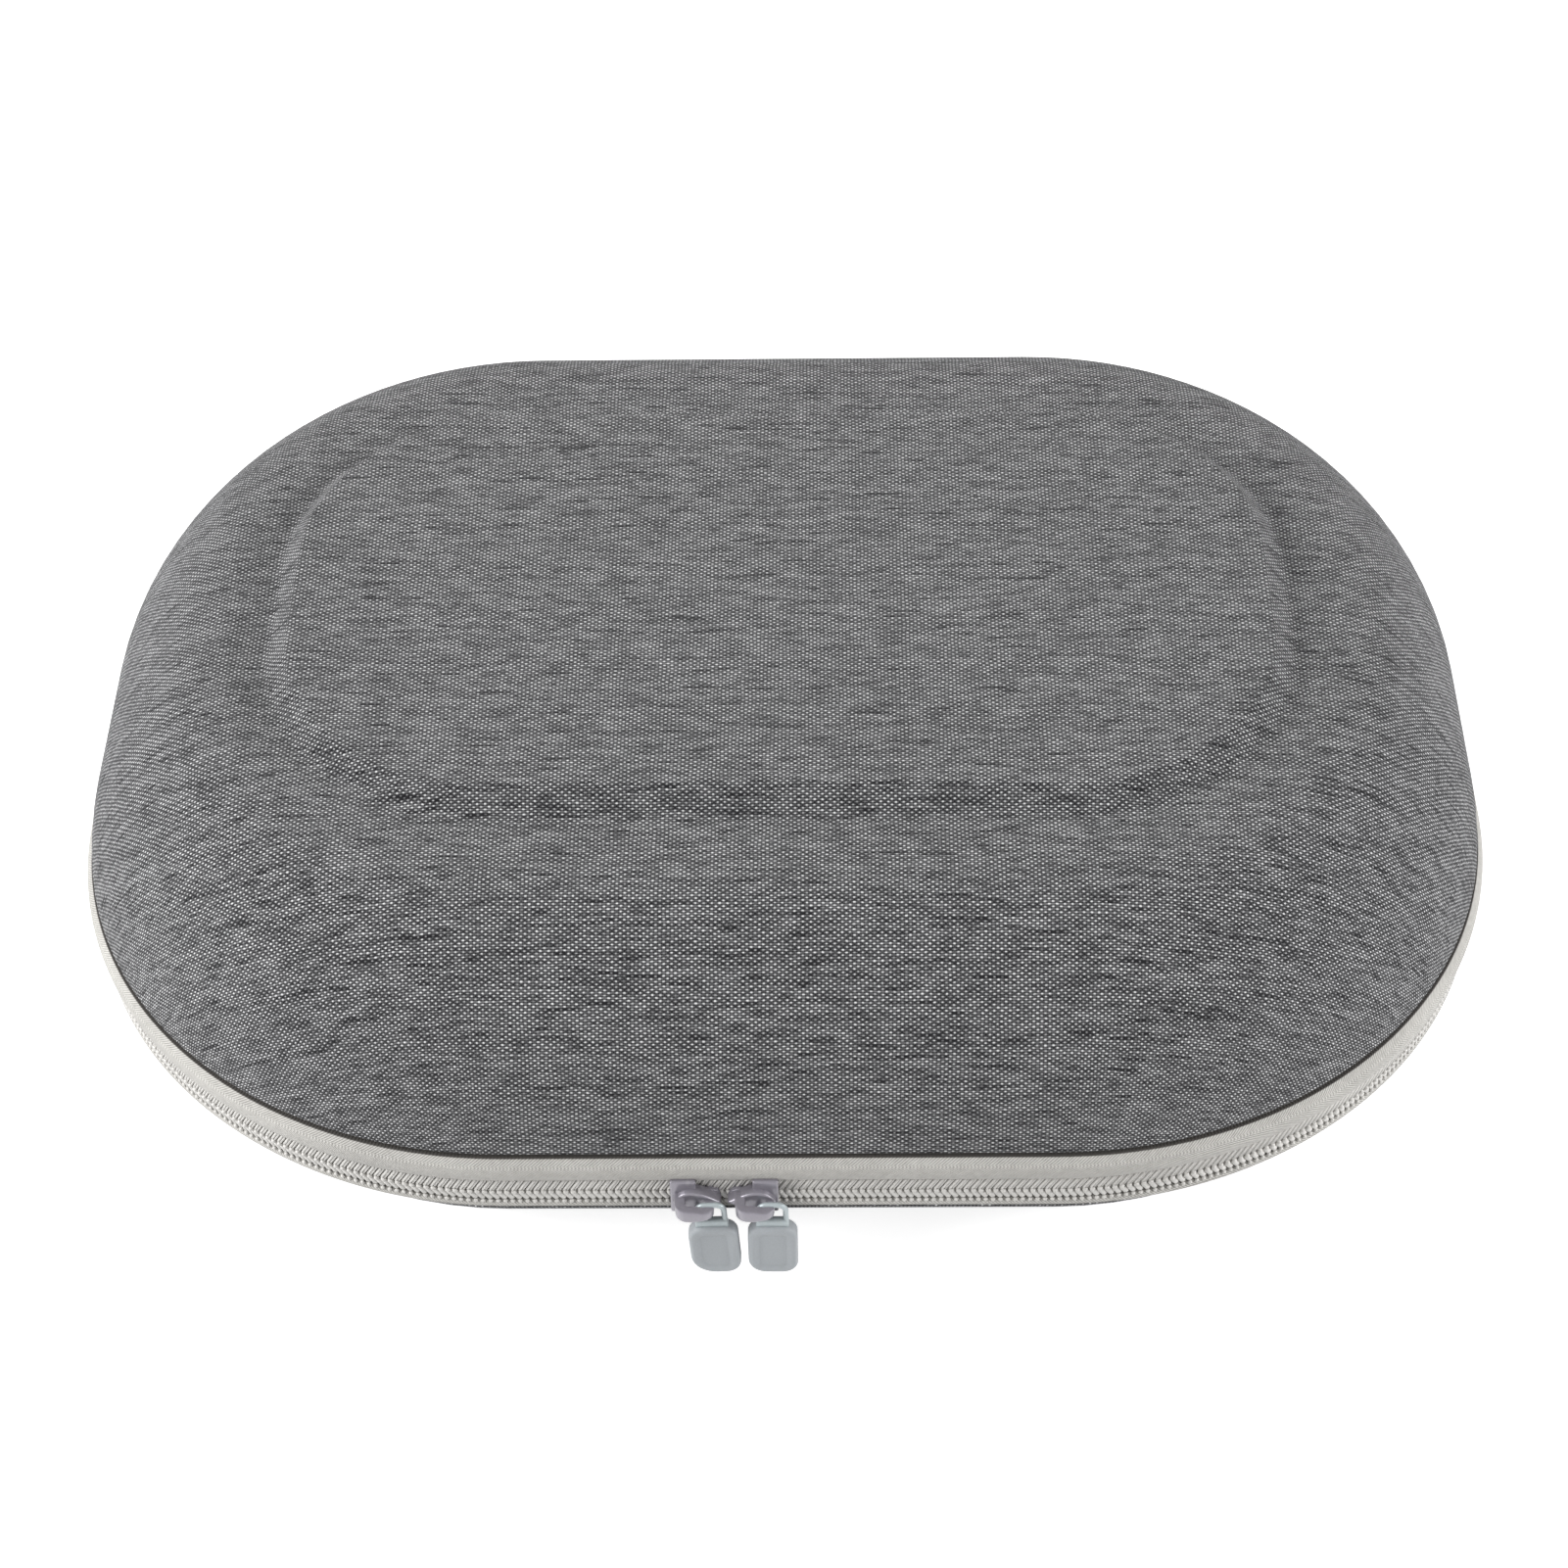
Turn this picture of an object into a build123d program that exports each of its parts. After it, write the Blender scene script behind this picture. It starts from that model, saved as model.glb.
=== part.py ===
from build123d import *
import math
import os

# Hard clamshell carrying case for a folding headphone.
# Millimetres, +Z up. The origin is the centre of the flat underside. +Y is the hinge side, the two
# zip sliders are on the -Y side, and X runs along the hinge. The case is drawn closed.

# Plan: a rectangle with large round corners, measured at the lower edge of the lid's fabric
case_width = 260.0
case_depth = 192.0
corner_radius = 82.0

# Moulded wall: fabric outside, foam shell, lining inside
cover_thick = 0.8
foam_thick = 3.5
lining_thick = 0.7

# Lid: a steep wall arc, a tighter shoulder arc and a flat crown with a raised panel
lid_wall_radius = 52.0
lid_wall_lean = 5.5
lid_shoulder_radius = 20.0
lid_shoulder_start = 50.0
panel_width = 186.0
panel_depth = 107.0
panel_corner = 42.0
panel_rise = 4.4
panel_slope = 4.0

# Base: one bowl arc down to a flat floor
base_wall_radius = 44.0
base_wall_lean = 31.0
base_inset = 1.0

# Zip: tape beads, coil halves and the gap between the halves
lid_bead_height = 6.2
lid_bead_proud = 1.4
base_bead_height = 1.3
base_bead_recess = 1.6
bead_edge_inset = 0.1
coil_clear = 0.4
coil_height = 2.35
coil_gap = 1.3
coil_proud = 0.6
coil_depth = 1.8
tape_thick = 0.6
tape_overlap = 0.2
flange_thick = 0.8
zip_end_gap = 1.0
zip_stop_length = 2.0
zip_stop_proud = 0.2
zip_stop_clear = 0.1

# Ribbons that cover the sewn edges inside
binding_thick = 0.6
binding_height = 8.0

# Fabric hinge at the back
hinge_width = 84.0
hinge_thick = 1.0
hinge_sewn = 9.0
hinge_proud = 1.1

# Pocket in the lid
pocket_drop = 13.0
mesh_thick = 0.6
elastic_width = 8.0
elastic_thick = 1.6
pocket_binding_height = 8.0
pocket_binding_thick = 0.7

# Removable divider on the floor of the base
divider_width = 46.0
divider_depth = 96.0
divider_height = 24.0
divider_corner = 14.0
divider_edge = 4.0
hook_thick = 1.2
hook_width = 20.0
hook_spacing = 24.0

# Zip sliders
slider_meet_x = -9.7
slider_nose_gap = 1.0
slider_length = 9.0
slider_play = 0.3
plate_thick = 1.1
wing_length = 4.5
wing_half_height = 4.0
inner_half_height = 3.3
boat_half_height = 2.4
boat_rise = 1.1
boat_swell = 0.78
post_thick = 0.9
post_length = 3.0
post_from_nose = 1.2
flange_lip = 0.7
flange_reach = 1.0
crown_length = 6.85
crown_height = 3.8
crown_bar = 1.1
crown_root_half = 1.25
crown_tip_half = 0.5
crown_round = 1.8
crown_from_rear = 0.85

# Zip pulls: a link through the crown, moulded into a rubber grip
link_wire = 1.0
link_width = 5.7
link_play = 0.25
link_tongue = 3.6
grip_width = 8.6
grip_length = 13.6
grip_thick = 3.0
grip_drop = 3.4
grip_corner = 2.7
grip_edge = 0.8
left_pull_turn = 4.0
right_pull_turn = 0.0

# Values worked out from the sizes above
wall_thick = cover_thick + foam_thick + lining_thick
corner_x = case_width / 2 - corner_radius
corner_y = case_depth / 2 - corner_radius
base_radius = corner_radius - base_inset
base_centre_u = base_radius - base_wall_radius * math.cos(math.radians(base_wall_lean))
base_centre_z = base_wall_radius
base_rim_z = base_wall_radius * (1 - math.sin(math.radians(base_wall_lean)))
split_z = base_rim_z + base_bead_height + tape_overlap + coil_height + coil_gap / 2
lid_coil_top = split_z + coil_gap / 2 + coil_height
lid_rim_z = lid_coil_top + coil_clear + lid_bead_height
lid_centre_u = corner_radius - lid_wall_radius * math.cos(math.radians(lid_wall_lean))
lid_centre_z = lid_rim_z - lid_wall_radius * math.sin(math.radians(lid_wall_lean))
radius_step = lid_wall_radius - lid_shoulder_radius
shoulder_u = lid_centre_u + radius_step * math.cos(math.radians(lid_shoulder_start))
shoulder_z = lid_centre_z + radius_step * math.sin(math.radians(lid_shoulder_start))
crown_z = shoulder_z + lid_shoulder_radius
hinge_axis_u = corner_radius + hinge_proud
hinge_axis_y = corner_y + hinge_axis_u
grip_top = split_z - grip_drop
front_y = -case_depth / 2


def spot(u, z):
    """A point of a wall section: u outward from the corner centre, z up."""
    return Vector(u, 0, z)


def arc(centre_u, centre_z, radius, start, end):
    """Arc of a wall section between two angles above the horizontal, in degrees."""
    angles = [math.radians(a) for a in (start, (start + end) / 2, end)]
    points = [spot(centre_u + radius * math.cos(a), centre_z + radius * math.sin(a)) for a in angles]
    return Edge.make_three_point_arc(*points)


def section(edges):
    """Face of a wall section from its edges in order, with straight edges across any gap."""
    loop = []
    for edge, following in zip(edges, edges[1:] + edges[:1]):
        loop.append(edge)
        if (edge @ 1 - following @ 0).length > 1e-6:
            loop.append(Edge.make_line(edge @ 1, following @ 0))
    return Face(Wire(loop))


def polygon(points):
    """Face of a wall section from the corners of a polygon."""
    return Face(Wire.make_polygon([spot(u, z) for u, z in points], close=True))


def joined(solids):
    """One solid from solids that meet face to face."""
    return solids[0].fuse(*solids[1:]).clean()


def ring(face):
    """Carry a wall section round the whole plan: four corner turns and four straight runs."""
    pieces = []
    corners = [(corner_x, corner_y), (-corner_x, corner_y), (-corner_x, -corner_y), (corner_x, -corner_y)]
    for index, (x, y) in enumerate(corners):
        angle = 90 * index
        placed = Pos(x, y, 0) * Rot(0, 0, angle) * face
        pieces.append(revolve(placed, axis=Axis((x, y, 0), (0, 0, 1)), revolution_arc=90))
        turned = Pos(x, y, 0) * Rot(0, 0, angle + 90) * face
        next_x, next_y = corners[(index + 1) % 4]
        run = Vector(next_x - x, next_y - y, 0)
        pieces.append(extrude(turned, amount=run.length, dir=run.normalized()))
    return joined(pieces)


def plan_plate(u, low, high):
    """Flat plate with the plan's outline at the distance u from the corner centres."""
    outline = RectangleRounded(2 * (corner_x + u), 2 * (corner_y + u), u)
    return extrude(Pos(0, 0, low) * outline, amount=high - low)


def block(low, high):
    """Box between two corners."""
    size = [b - a for a, b in zip(low, high)]
    middle = [(a + b) / 2 for a, b in zip(low, high)]
    return Pos(*middle) * Box(*size)


def lid_angle(depth, z):
    """Angle on the lid's wall arc, at a depth below the outer face, where it reaches height z."""
    return math.degrees(math.asin((z - lid_centre_z) / (lid_wall_radius - depth)))


def lid_u(depth, z):
    """Distance from the corner centre to the lid's wall, at a depth below the outer face."""
    return lid_centre_u + (lid_wall_radius - depth) * math.cos(math.radians(lid_angle(depth, z)))


def base_angle(depth, z):
    """Angle on the base's bowl arc, at a depth below the outer face, where it reaches height z."""
    return math.degrees(math.asin((z - base_centre_z) / (base_wall_radius - depth)))


def base_u(depth, z):
    """Distance from the corner centre to the base's wall, at a depth below the outer face."""
    return base_centre_u + (base_wall_radius - depth) * math.cos(math.radians(base_angle(depth, z)))


def lid_arcs(depth):
    """The lid's wall and shoulder arcs at a depth below the outer face, from the rim up."""
    wall = lid_wall_radius - depth
    shoulder = lid_shoulder_radius - depth
    return [
        arc(lid_centre_u, lid_centre_z, wall, lid_angle(depth, lid_rim_z), lid_shoulder_start),
        arc(shoulder_u, shoulder_z, shoulder, lid_shoulder_start, 90),
    ]


def lid_layer(outer, inner):
    """One layer of the lid's wall and crown, between two depths below its outer face."""
    rim_angle = lid_angle(inner, lid_rim_z)
    back = [
        arc(shoulder_u, shoulder_z, lid_shoulder_radius - inner, 90, lid_shoulder_start),
        arc(lid_centre_u, lid_centre_z, lid_wall_radius - inner, lid_shoulder_start, rim_angle),
    ]
    wall = ring(section(lid_arcs(outer) + back))
    return joined([wall, plan_plate(shoulder_u, crown_z - inner, crown_z - outer)])


def base_layer(outer, inner):
    """One layer of the base's bowl and floor, between two depths below its outer face."""
    out = arc(base_centre_u, base_centre_z, base_wall_radius - outer, base_angle(outer, base_rim_z), -90)
    back = arc(base_centre_u, base_centre_z, base_wall_radius - inner, -90, base_angle(inner, base_rim_z))
    return joined([ring(section([out, back])), plan_plate(base_centre_u, outer, inner)])


def raised_panel(depth):
    """Raised field of the crown at a depth below the outer face, with sloping sides."""
    lean = math.atan2(panel_slope, panel_rise)
    inset = depth * (1 - math.sin(lean)) / math.cos(lean)
    outline = RectangleRounded(panel_width - 2 * inset, panel_depth - 2 * inset, panel_corner - inset)
    return extrude(Pos(0, 0, crown_z - depth) * outline, amount=panel_rise, taper=math.degrees(lean))


def band(angle_at, centre_u, centre_z, radius, outer, inner, low, high, tail):
    """Ribbon that lies on a wall arc between two heights, with a straight tail past the rim."""
    out = arc(centre_u, centre_z, radius - outer, angle_at(outer, low), angle_at(outer, high))
    back = arc(centre_u, centre_z, radius - inner, angle_at(inner, high), angle_at(inner, low))
    if not tail:
        return section([out, back])
    rim_out, rim_in = (out @ 0, back @ 1) if tail < 0 else (out @ 1, back @ 0)
    end_out = Vector(rim_out.X, 0, rim_out.Z + tail)
    end_in = Vector(rim_in.X, 0, rim_in.Z + tail)
    if tail < 0:
        return section([Edge.make_line(end_out, rim_out), out, back, Edge.make_line(rim_in, end_in)])
    return section([out, Edge.make_line(rim_out, end_out), Edge.make_line(end_in, rim_in), back])


def lid_band(outer, inner, low, high, tail=0.0):
    """Ribbon on the lid's wall arc."""
    return band(lid_angle, lid_centre_u, lid_centre_z, lid_wall_radius, outer, inner, low, high, tail)


def base_band(outer, inner, low, high, tail=0.0):
    """Ribbon on the base's bowl arc."""
    return band(base_angle, base_centre_u, base_centre_z, base_wall_radius, outer, inner, low, high, tail)


def open_at_hinge(solid, half_gap):
    """Cut the stretch of a zip band that the fabric hinge takes up."""
    reach = corner_radius + hinge_proud + corner_y
    return solid - block((-half_gap, 0, 0), (half_gap, reach, crown_z))


def lid_zip_tape():
    """Lid's zip tape: flange sewn under the rim, round bead in view, web behind the coil."""
    edge_u = corner_radius - bead_edge_inset
    bead_low = lid_rim_z - lid_bead_height
    web_front = corner_radius + coil_proud - coil_depth
    web_back = web_front - tape_thick
    web_low = split_z + coil_gap / 2 + tape_overlap
    flange_u = lid_u(wall_thick, lid_rim_z)
    flange_low = lid_rim_z - flange_thick
    peak = spot(corner_radius + lid_bead_proud, lid_rim_z - lid_bead_height / 2)
    bead = Edge.make_three_point_arc(spot(edge_u, lid_rim_z), peak, spot(edge_u, bead_low))
    corners = [(web_front, bead_low), (web_front, web_low), (web_back, web_low),
               (web_back, flange_low), (flange_u, flange_low), (flange_u, lid_rim_z)]
    lines = [Edge.make_line(spot(*a), spot(*b)) for a, b in zip(corners, corners[1:])]
    return open_at_hinge(ring(section([bead] + lines)), hinge_width / 2 + zip_end_gap)


def base_zip_tape():
    """Base's zip tape: flange sewn over the rim, low bead and web behind the coil."""
    edge_u = base_radius - bead_edge_inset
    bead_high = base_rim_z + base_bead_height
    web_front = corner_radius + coil_proud - coil_depth
    web_back = web_front - tape_thick
    web_high = split_z - coil_gap / 2 - tape_overlap
    flange_u = base_u(wall_thick, base_rim_z)
    flange_high = base_rim_z + flange_thick
    bead_u = min(edge_u, corner_radius - base_bead_recess)
    corners = [(edge_u, base_rim_z), (bead_u, bead_high), (web_front, bead_high + tape_overlap),
               (web_front, web_high), (web_back, web_high), (web_back, flange_high),
               (flange_u, flange_high), (flange_u, base_rim_z)]
    return open_at_hinge(ring(polygon(corners)), hinge_width / 2 + zip_end_gap)


def coil_half(low):
    """One half of the closed chain as a plain band; its turns are left to the finish."""
    front = corner_radius + coil_proud
    back = front - coil_depth
    corners = [(back, low), (front, low), (front, low + coil_height), (back, low + coil_height)]
    return open_at_hinge(ring(polygon(corners)), hinge_width / 2 + zip_end_gap + zip_stop_length)


def zip_stop(side):
    """Crimped stop at one end of the base's coil, on the straight run beside the hinge."""
    inner = hinge_width / 2 + zip_end_gap
    outer = inner + zip_stop_length
    back = corner_y + corner_radius + coil_proud
    low, high = sorted((side * inner, side * outer))
    top = split_z - zip_stop_clear
    bottom = split_z - coil_gap / 2 - coil_height - zip_stop_proud
    return block((low, back - coil_depth, bottom), (high, back + zip_stop_proud, top))


def hinge_strip(wall_face, rim, outer_rim_u):
    """Half of the fabric hinge: sewn on the wall outside, then up or down to the hinge line."""
    inner_u = hinge_axis_u - hinge_thick
    flap = polygon([(outer_rim_u, rim), (outer_rim_u + hinge_thick, rim), (hinge_axis_u, split_z),
                    (inner_u, split_z)])
    halves = []
    for face in (wall_face, flap):
        placed = Pos(-hinge_width / 2, corner_y, 0) * Rot(0, 0, 90) * face
        halves.append(extrude(placed, amount=hinge_width, dir=(1, 0, 0)))
    return joined(halves)


def hinge_strip_lid():
    """Lid's half of the fabric hinge."""
    wall = lid_wall_radius + hinge_thick
    top = lid_rim_z + hinge_sewn
    inner = arc(lid_centre_u, lid_centre_z, lid_wall_radius, lid_angle(0, lid_rim_z), lid_angle(0, top))
    lean = lid_angle(0, top)
    outer = arc(lid_centre_u, lid_centre_z, wall, lean, lid_angle(-hinge_thick, lid_rim_z))
    rim_u = lid_u(0, lid_rim_z)
    return hinge_strip(section([inner, outer]), lid_rim_z, rim_u)


def hinge_strip_base():
    """Base's half of the fabric hinge."""
    wall = base_wall_radius + hinge_thick
    foot = base_rim_z - hinge_sewn
    lean = base_angle(0, foot)
    inner = arc(base_centre_u, base_centre_z, base_wall_radius, lean, base_angle(0, base_rim_z))
    outer = arc(base_centre_u, base_centre_z, wall, base_angle(-hinge_thick, base_rim_z), lean)
    return hinge_strip(section([inner, outer]), base_rim_z, base_u(0, base_rim_z))


def mesh_level():
    """Height of the underside of the pocket's mesh."""
    return crown_z - wall_thick - pocket_drop


def pocket_binding():
    """Ribbon that sews the mesh to the lid's lining, round the back and the sides."""
    low = mesh_level() - pocket_binding_height / 2
    high = mesh_level() + pocket_binding_height / 2
    inner = wall_thick + pocket_binding_thick
    full = ring(lid_band(wall_thick, inner, low, high))
    reach = max(case_width, case_depth)
    return full & block((-reach, -corner_y, 0), (reach, reach, crown_z))


def mesh_edge():
    """Distance from the corner centres to the edge of the mesh."""
    return lid_u(wall_thick + pocket_binding_thick, mesh_level() + mesh_thick)


def mesh_pocket():
    """Flat mesh across the back of the lid."""
    level = mesh_level()
    sheet = plan_plate(mesh_edge(), level, level + mesh_thick)
    reach = case_width
    return sheet & block((-reach, -corner_y + elastic_width, 0), (reach, reach, crown_z))


def pocket_elastic():
    """Elastic hem along the pocket's mouth, on the straight stretch of the side walls."""
    level = mesh_level() + mesh_thick / 2
    half = corner_x + lid_u(wall_thick + pocket_binding_thick, level + elastic_thick / 2)
    low = (-half, -corner_y, level - elastic_thick / 2)
    return block(low, (half, -corner_y + elastic_width, level + elastic_thick / 2))


def divider_pad():
    """Padded block that parts the two ear cups."""
    floor = wall_thick + hook_thick
    outline = RectangleRounded(divider_width, divider_depth, divider_corner)
    pad = extrude(Pos(0, 0, floor) * outline, amount=divider_height)
    return fillet(pad.edges().group_by(Axis.Z)[-1], divider_edge)


def divider_hook_strips():
    """Two hook strips under the divider that grip the lining."""
    strips = []
    length = divider_width - 2 * divider_edge
    for side in (-1, 1):
        outline = Pos(0, side * hook_spacing, wall_thick) * Rectangle(length, hook_width)
        strips.append(extrude(outline, amount=hook_thick))
    return Compound(children=strips)


def slider_span(side):
    """Rear and nose X of a slider: side -1 is the left one, whose nose points right."""
    nose = slider_meet_x + side * slider_nose_gap / 2
    return nose + side * slider_length, nose


def outward(distance):
    """Y of a point that stands a distance out from the rim's outline at the front."""
    return front_y - distance


def plate_front():
    """How far the outer plate's wing stands out from the rim's outline."""
    return coil_proud + slider_play + plate_thick


def boat(side):
    """Outer plate's raised middle: round at the rear, pointed at the nose."""
    rear, nose = slider_span(side)
    shoulder = rear - side * boat_half_height
    top = boat_half_height
    points = [(nose, 0), (shoulder, top), (rear, 0), (shoulder, -top)]
    bulge = (nose + shoulder) / 2
    swell = boat_half_height * boat_swell
    edges = [
        Edge.make_three_point_arc(Vector(*points[0], 0), Vector(bulge, swell, 0), Vector(*points[1], 0)),
        Edge.make_three_point_arc(Vector(*points[1], 0), Vector(*points[2], 0), Vector(*points[3], 0)),
        Edge.make_three_point_arc(Vector(*points[3], 0), Vector(bulge, -swell, 0), Vector(*points[0], 0)),
    ]
    return Face(Wire(edges))


def standing(face, level, near, far):
    """Extrude a face drawn in X and Z about a height, between two distances out from the rim."""
    placed = Pos(0, outward(near), level) * Rot(90, 0, 0) * face
    return extrude(placed, amount=far - near, dir=(0, -1, 0))


def crown_span(side):
    """Left and right X of the crown."""
    rear, nose = slider_span(side)
    start = rear - side * crown_from_rear
    left = min(start, start - side * crown_length)
    return left, left + crown_length


def crown_solid(side):
    """Slider's crown: an arch along the travel, wide at its left foot and narrow at its right."""
    left, right = crown_span(side)
    middle = (left + right) / 2
    foot = plate_front()
    top = foot + boat_rise + crown_height
    height = top - foot
    outer = Pos(middle, outward(foot)) * Rectangle(crown_length, 2 * height)
    outer = fillet(outer.vertices(), crown_round)
    window = Pos(middle, outward(foot)) * Rectangle(crown_length - 2 * crown_bar, 2 * (height - crown_bar))
    window = fillet(window.vertices(), crown_round - crown_bar)
    outside = Pos(middle, outward((foot + top) / 2)) * Rectangle(crown_length, height)
    profile = (outer - window) & outside
    arch = extrude(Pos(0, 0, split_z) * profile, amount=crown_root_half, both=True)
    corners = [(left, -crown_root_half), (right, -crown_tip_half),
               (right, crown_tip_half), (left, crown_root_half)]
    plan = Face(Wire.make_polygon([Vector(x, z, 0) for x, z in corners], close=True))
    return arch & standing(plan, split_z, foot, top)


def slider_body(side):
    """Slider casting: two plates, the post that parts the coils, a lower lip and the crown."""
    rear, nose = slider_span(side)
    front = plate_front()
    channel_front = coil_proud + slider_play
    channel_back = coil_proud - coil_depth - tape_thick - slider_play
    wing_end = rear - side * wing_length
    wing_low, wing_high = sorted((rear, wing_end))
    body_low, body_high = sorted((rear, nose))
    post_nose = nose + side * post_from_nose
    post_low, post_high = sorted((post_nose, post_nose + side * post_length))
    wing = block((wing_low, outward(front), split_z - wing_half_height),
                 (wing_high, outward(channel_front), split_z + wing_half_height))
    middle = standing(boat(side), split_z, channel_front, front + boat_rise)
    inner = block((body_low, outward(channel_back), split_z - inner_half_height),
                  (body_high, outward(channel_back - plate_thick), split_z + inner_half_height))
    post = block((post_low, outward(channel_front), split_z - post_thick / 2),
                 (post_high, outward(channel_back), split_z + post_thick / 2))
    lip = block((wing_low, outward(channel_front), split_z - wing_half_height),
                (wing_high, outward(channel_front - flange_reach), split_z - wing_half_height + flange_lip))
    return joined([wing, middle, inner, post, lip, crown_solid(side)])


def pull_frame(side):
    """X of the crown's right foot, and the out distance and height of the pull's swing axis."""
    left, right = crown_span(side)
    half_diagonal = link_wire / math.sqrt(2)
    out = plate_front() + boat_rise + link_play + half_diagonal
    height = split_z + crown_tip_half + link_play + half_diagonal
    return right - crown_bar / 2, out, height


def turned(solid, side, turn):
    """Turn a pull about the crown's foot, in the plane that it hangs in."""
    foot_x, out, height = pull_frame(side)
    axis = Axis((foot_x, 0, height), (0, 1, 0))
    return solid.rotate(axis, -turn)


def pull_link(side, turn):
    """Link round the crown's foot: an eye above and a tongue in the grip below."""
    foot_x, out, height = pull_frame(side)
    top = height + link_wire / 2
    eye_top = height - link_wire / 2
    eye_low = grip_top + link_play
    low = grip_top - link_tongue
    outer = Pos(foot_x, (top + low) / 2, 0) * Rectangle(link_width, top - low)
    outer = fillet(outer.vertices().group_by(Axis.Y)[-1], link_width / 2 - 0.1 * link_wire)
    eye_width = link_width - 2 * link_wire
    eye = Pos(foot_x, (eye_top + eye_low) / 2, 0) * Rectangle(eye_width, eye_top - eye_low)
    eye = fillet(eye.vertices().group_by(Axis.Y)[-1], eye_width / 2 - 0.1 * link_wire)
    plate = standing((outer - eye).face(), 0, out - link_wire / 2, out + link_wire / 2)
    return turned(plate, side, turn)


def pull_grip(side, turn):
    """Rubber grip moulded round the link's tongue."""
    foot_x, out, height = pull_frame(side)
    middle = grip_top - grip_length / 2
    face = Pos(foot_x, middle, 0) * RectangleRounded(grip_width, grip_length, grip_corner)
    pad = standing(face, 0, out - grip_thick / 2, out + grip_thick / 2)
    rims = pad.faces().group_by(Axis.Y)
    pad = fillet(rims[0].edges() + rims[-1].edges(), grip_edge)
    pad = turned(pad, side, turn)
    return pad - pull_link(side, turn)


def pieces():
    """Every node of the case by name."""
    under_cover = cover_thick
    under_foam = cover_thick + foam_thick
    binding_in = wall_thick + binding_thick
    panel = raised_panel(0)
    panel_core = raised_panel(under_cover)
    base_coil_low = split_z - coil_gap / 2 - coil_height
    return {
        "base_cover": base_layer(0, under_cover),
        "base_shell": base_layer(under_cover, under_foam),
        "base_lining": base_layer(under_foam, wall_thick),
        "base_zip_tape": base_zip_tape(),
        "base_zip_coil": coil_half(base_coil_low),
        "base_binding": ring(base_band(wall_thick, binding_in, base_rim_z - binding_height, base_rim_z,
                                       flange_thick)),
        "hinge_strip_base": hinge_strip_base(),
        "zip_stop_left": zip_stop(-1),
        "zip_stop_right": zip_stop(1),
        "divider_pad": divider_pad(),
        "divider_hook_strips": divider_hook_strips(),
        "lid_cover": joined([lid_layer(0, under_cover), panel]) - panel_core,
        "lid_shell": joined([lid_layer(under_cover, under_foam), panel_core]),
        "lid_lining": lid_layer(under_foam, wall_thick),
        "lid_zip_tape": lid_zip_tape(),
        "lid_zip_coil": coil_half(split_z + coil_gap / 2),
        "lid_binding": ring(lid_band(wall_thick, binding_in, lid_rim_z, lid_rim_z + binding_height,
                                     -flange_thick)),
        "hinge_strip_lid": hinge_strip_lid(),
        "mesh_pocket": mesh_pocket(),
        "pocket_elastic": pocket_elastic(),
        "pocket_binding": pocket_binding(),
        "left_slider_body": slider_body(-1),
        "left_pull_link": pull_link(-1, left_pull_turn),
        "left_pull_grip": pull_grip(-1, left_pull_turn),
        "right_slider_body": slider_body(1),
        "right_pull_link": pull_link(1, right_pull_turn),
        "right_pull_grip": pull_grip(1, right_pull_turn),
    }


os.makedirs("parts", exist_ok=True)
for name, solid in pieces().items():
    export_step(solid, f"parts/{name}.step")
print(f"hinge axis y {hinge_axis_y:.3f} z {split_z:.3f}, top {crown_z + panel_rise:.3f}")
for which, direction in (("left", -1), ("right", 1)):
    print(which, "pull axis", [round(value, 3) for value in pull_frame(direction)])
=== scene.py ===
import bmesh
import bpy
import math
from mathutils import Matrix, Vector


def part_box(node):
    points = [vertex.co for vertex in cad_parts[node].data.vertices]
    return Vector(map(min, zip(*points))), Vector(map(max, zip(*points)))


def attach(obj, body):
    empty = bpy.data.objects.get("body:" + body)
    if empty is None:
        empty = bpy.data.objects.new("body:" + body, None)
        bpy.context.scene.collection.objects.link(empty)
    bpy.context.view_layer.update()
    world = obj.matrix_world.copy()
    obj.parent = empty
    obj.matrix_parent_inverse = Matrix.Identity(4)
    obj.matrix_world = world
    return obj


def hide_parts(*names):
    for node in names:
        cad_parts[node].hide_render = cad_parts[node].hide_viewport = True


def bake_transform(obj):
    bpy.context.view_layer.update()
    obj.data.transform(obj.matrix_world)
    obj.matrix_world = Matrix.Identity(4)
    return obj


# Hard clamshell carrying case for a folding headphone, dressed over its construction model.
# The origin is the centre of the underside, +Z is up, the hinge is on the +Y side and the
# two zip sliders meet on the -Y side.

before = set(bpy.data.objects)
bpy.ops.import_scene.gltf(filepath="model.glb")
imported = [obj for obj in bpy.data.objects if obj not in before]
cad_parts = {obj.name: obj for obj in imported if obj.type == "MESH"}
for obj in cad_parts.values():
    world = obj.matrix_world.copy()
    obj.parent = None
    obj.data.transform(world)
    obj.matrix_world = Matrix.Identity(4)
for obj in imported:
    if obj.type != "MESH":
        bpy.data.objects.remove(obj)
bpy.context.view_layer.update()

mm = 0.001

# Sizes read from the construction model
lid_low, lid_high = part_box("lid_cover")
half_width = lid_high.x
half_depth = lid_high.y
lid_rim = lid_low.z
case_top = lid_high.z
base_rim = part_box("base_cover")[1].z
lid_coil_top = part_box("lid_zip_coil")[1].z
base_coil_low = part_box("base_zip_coil")[0].z
split_height = (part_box("lid_zip_coil")[0].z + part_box("base_zip_coil")[1].z) / 2

# Plan of the case
corner_radius = 82 * mm
corner_x = half_width - corner_radius
corner_y = half_depth - corner_radius
corner_steps = 24
run_steps = 8
line_steps = 60
tape_steps = 300
ribbon_steps = 240
front_y = -half_depth
aim_height = 40 * mm

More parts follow.
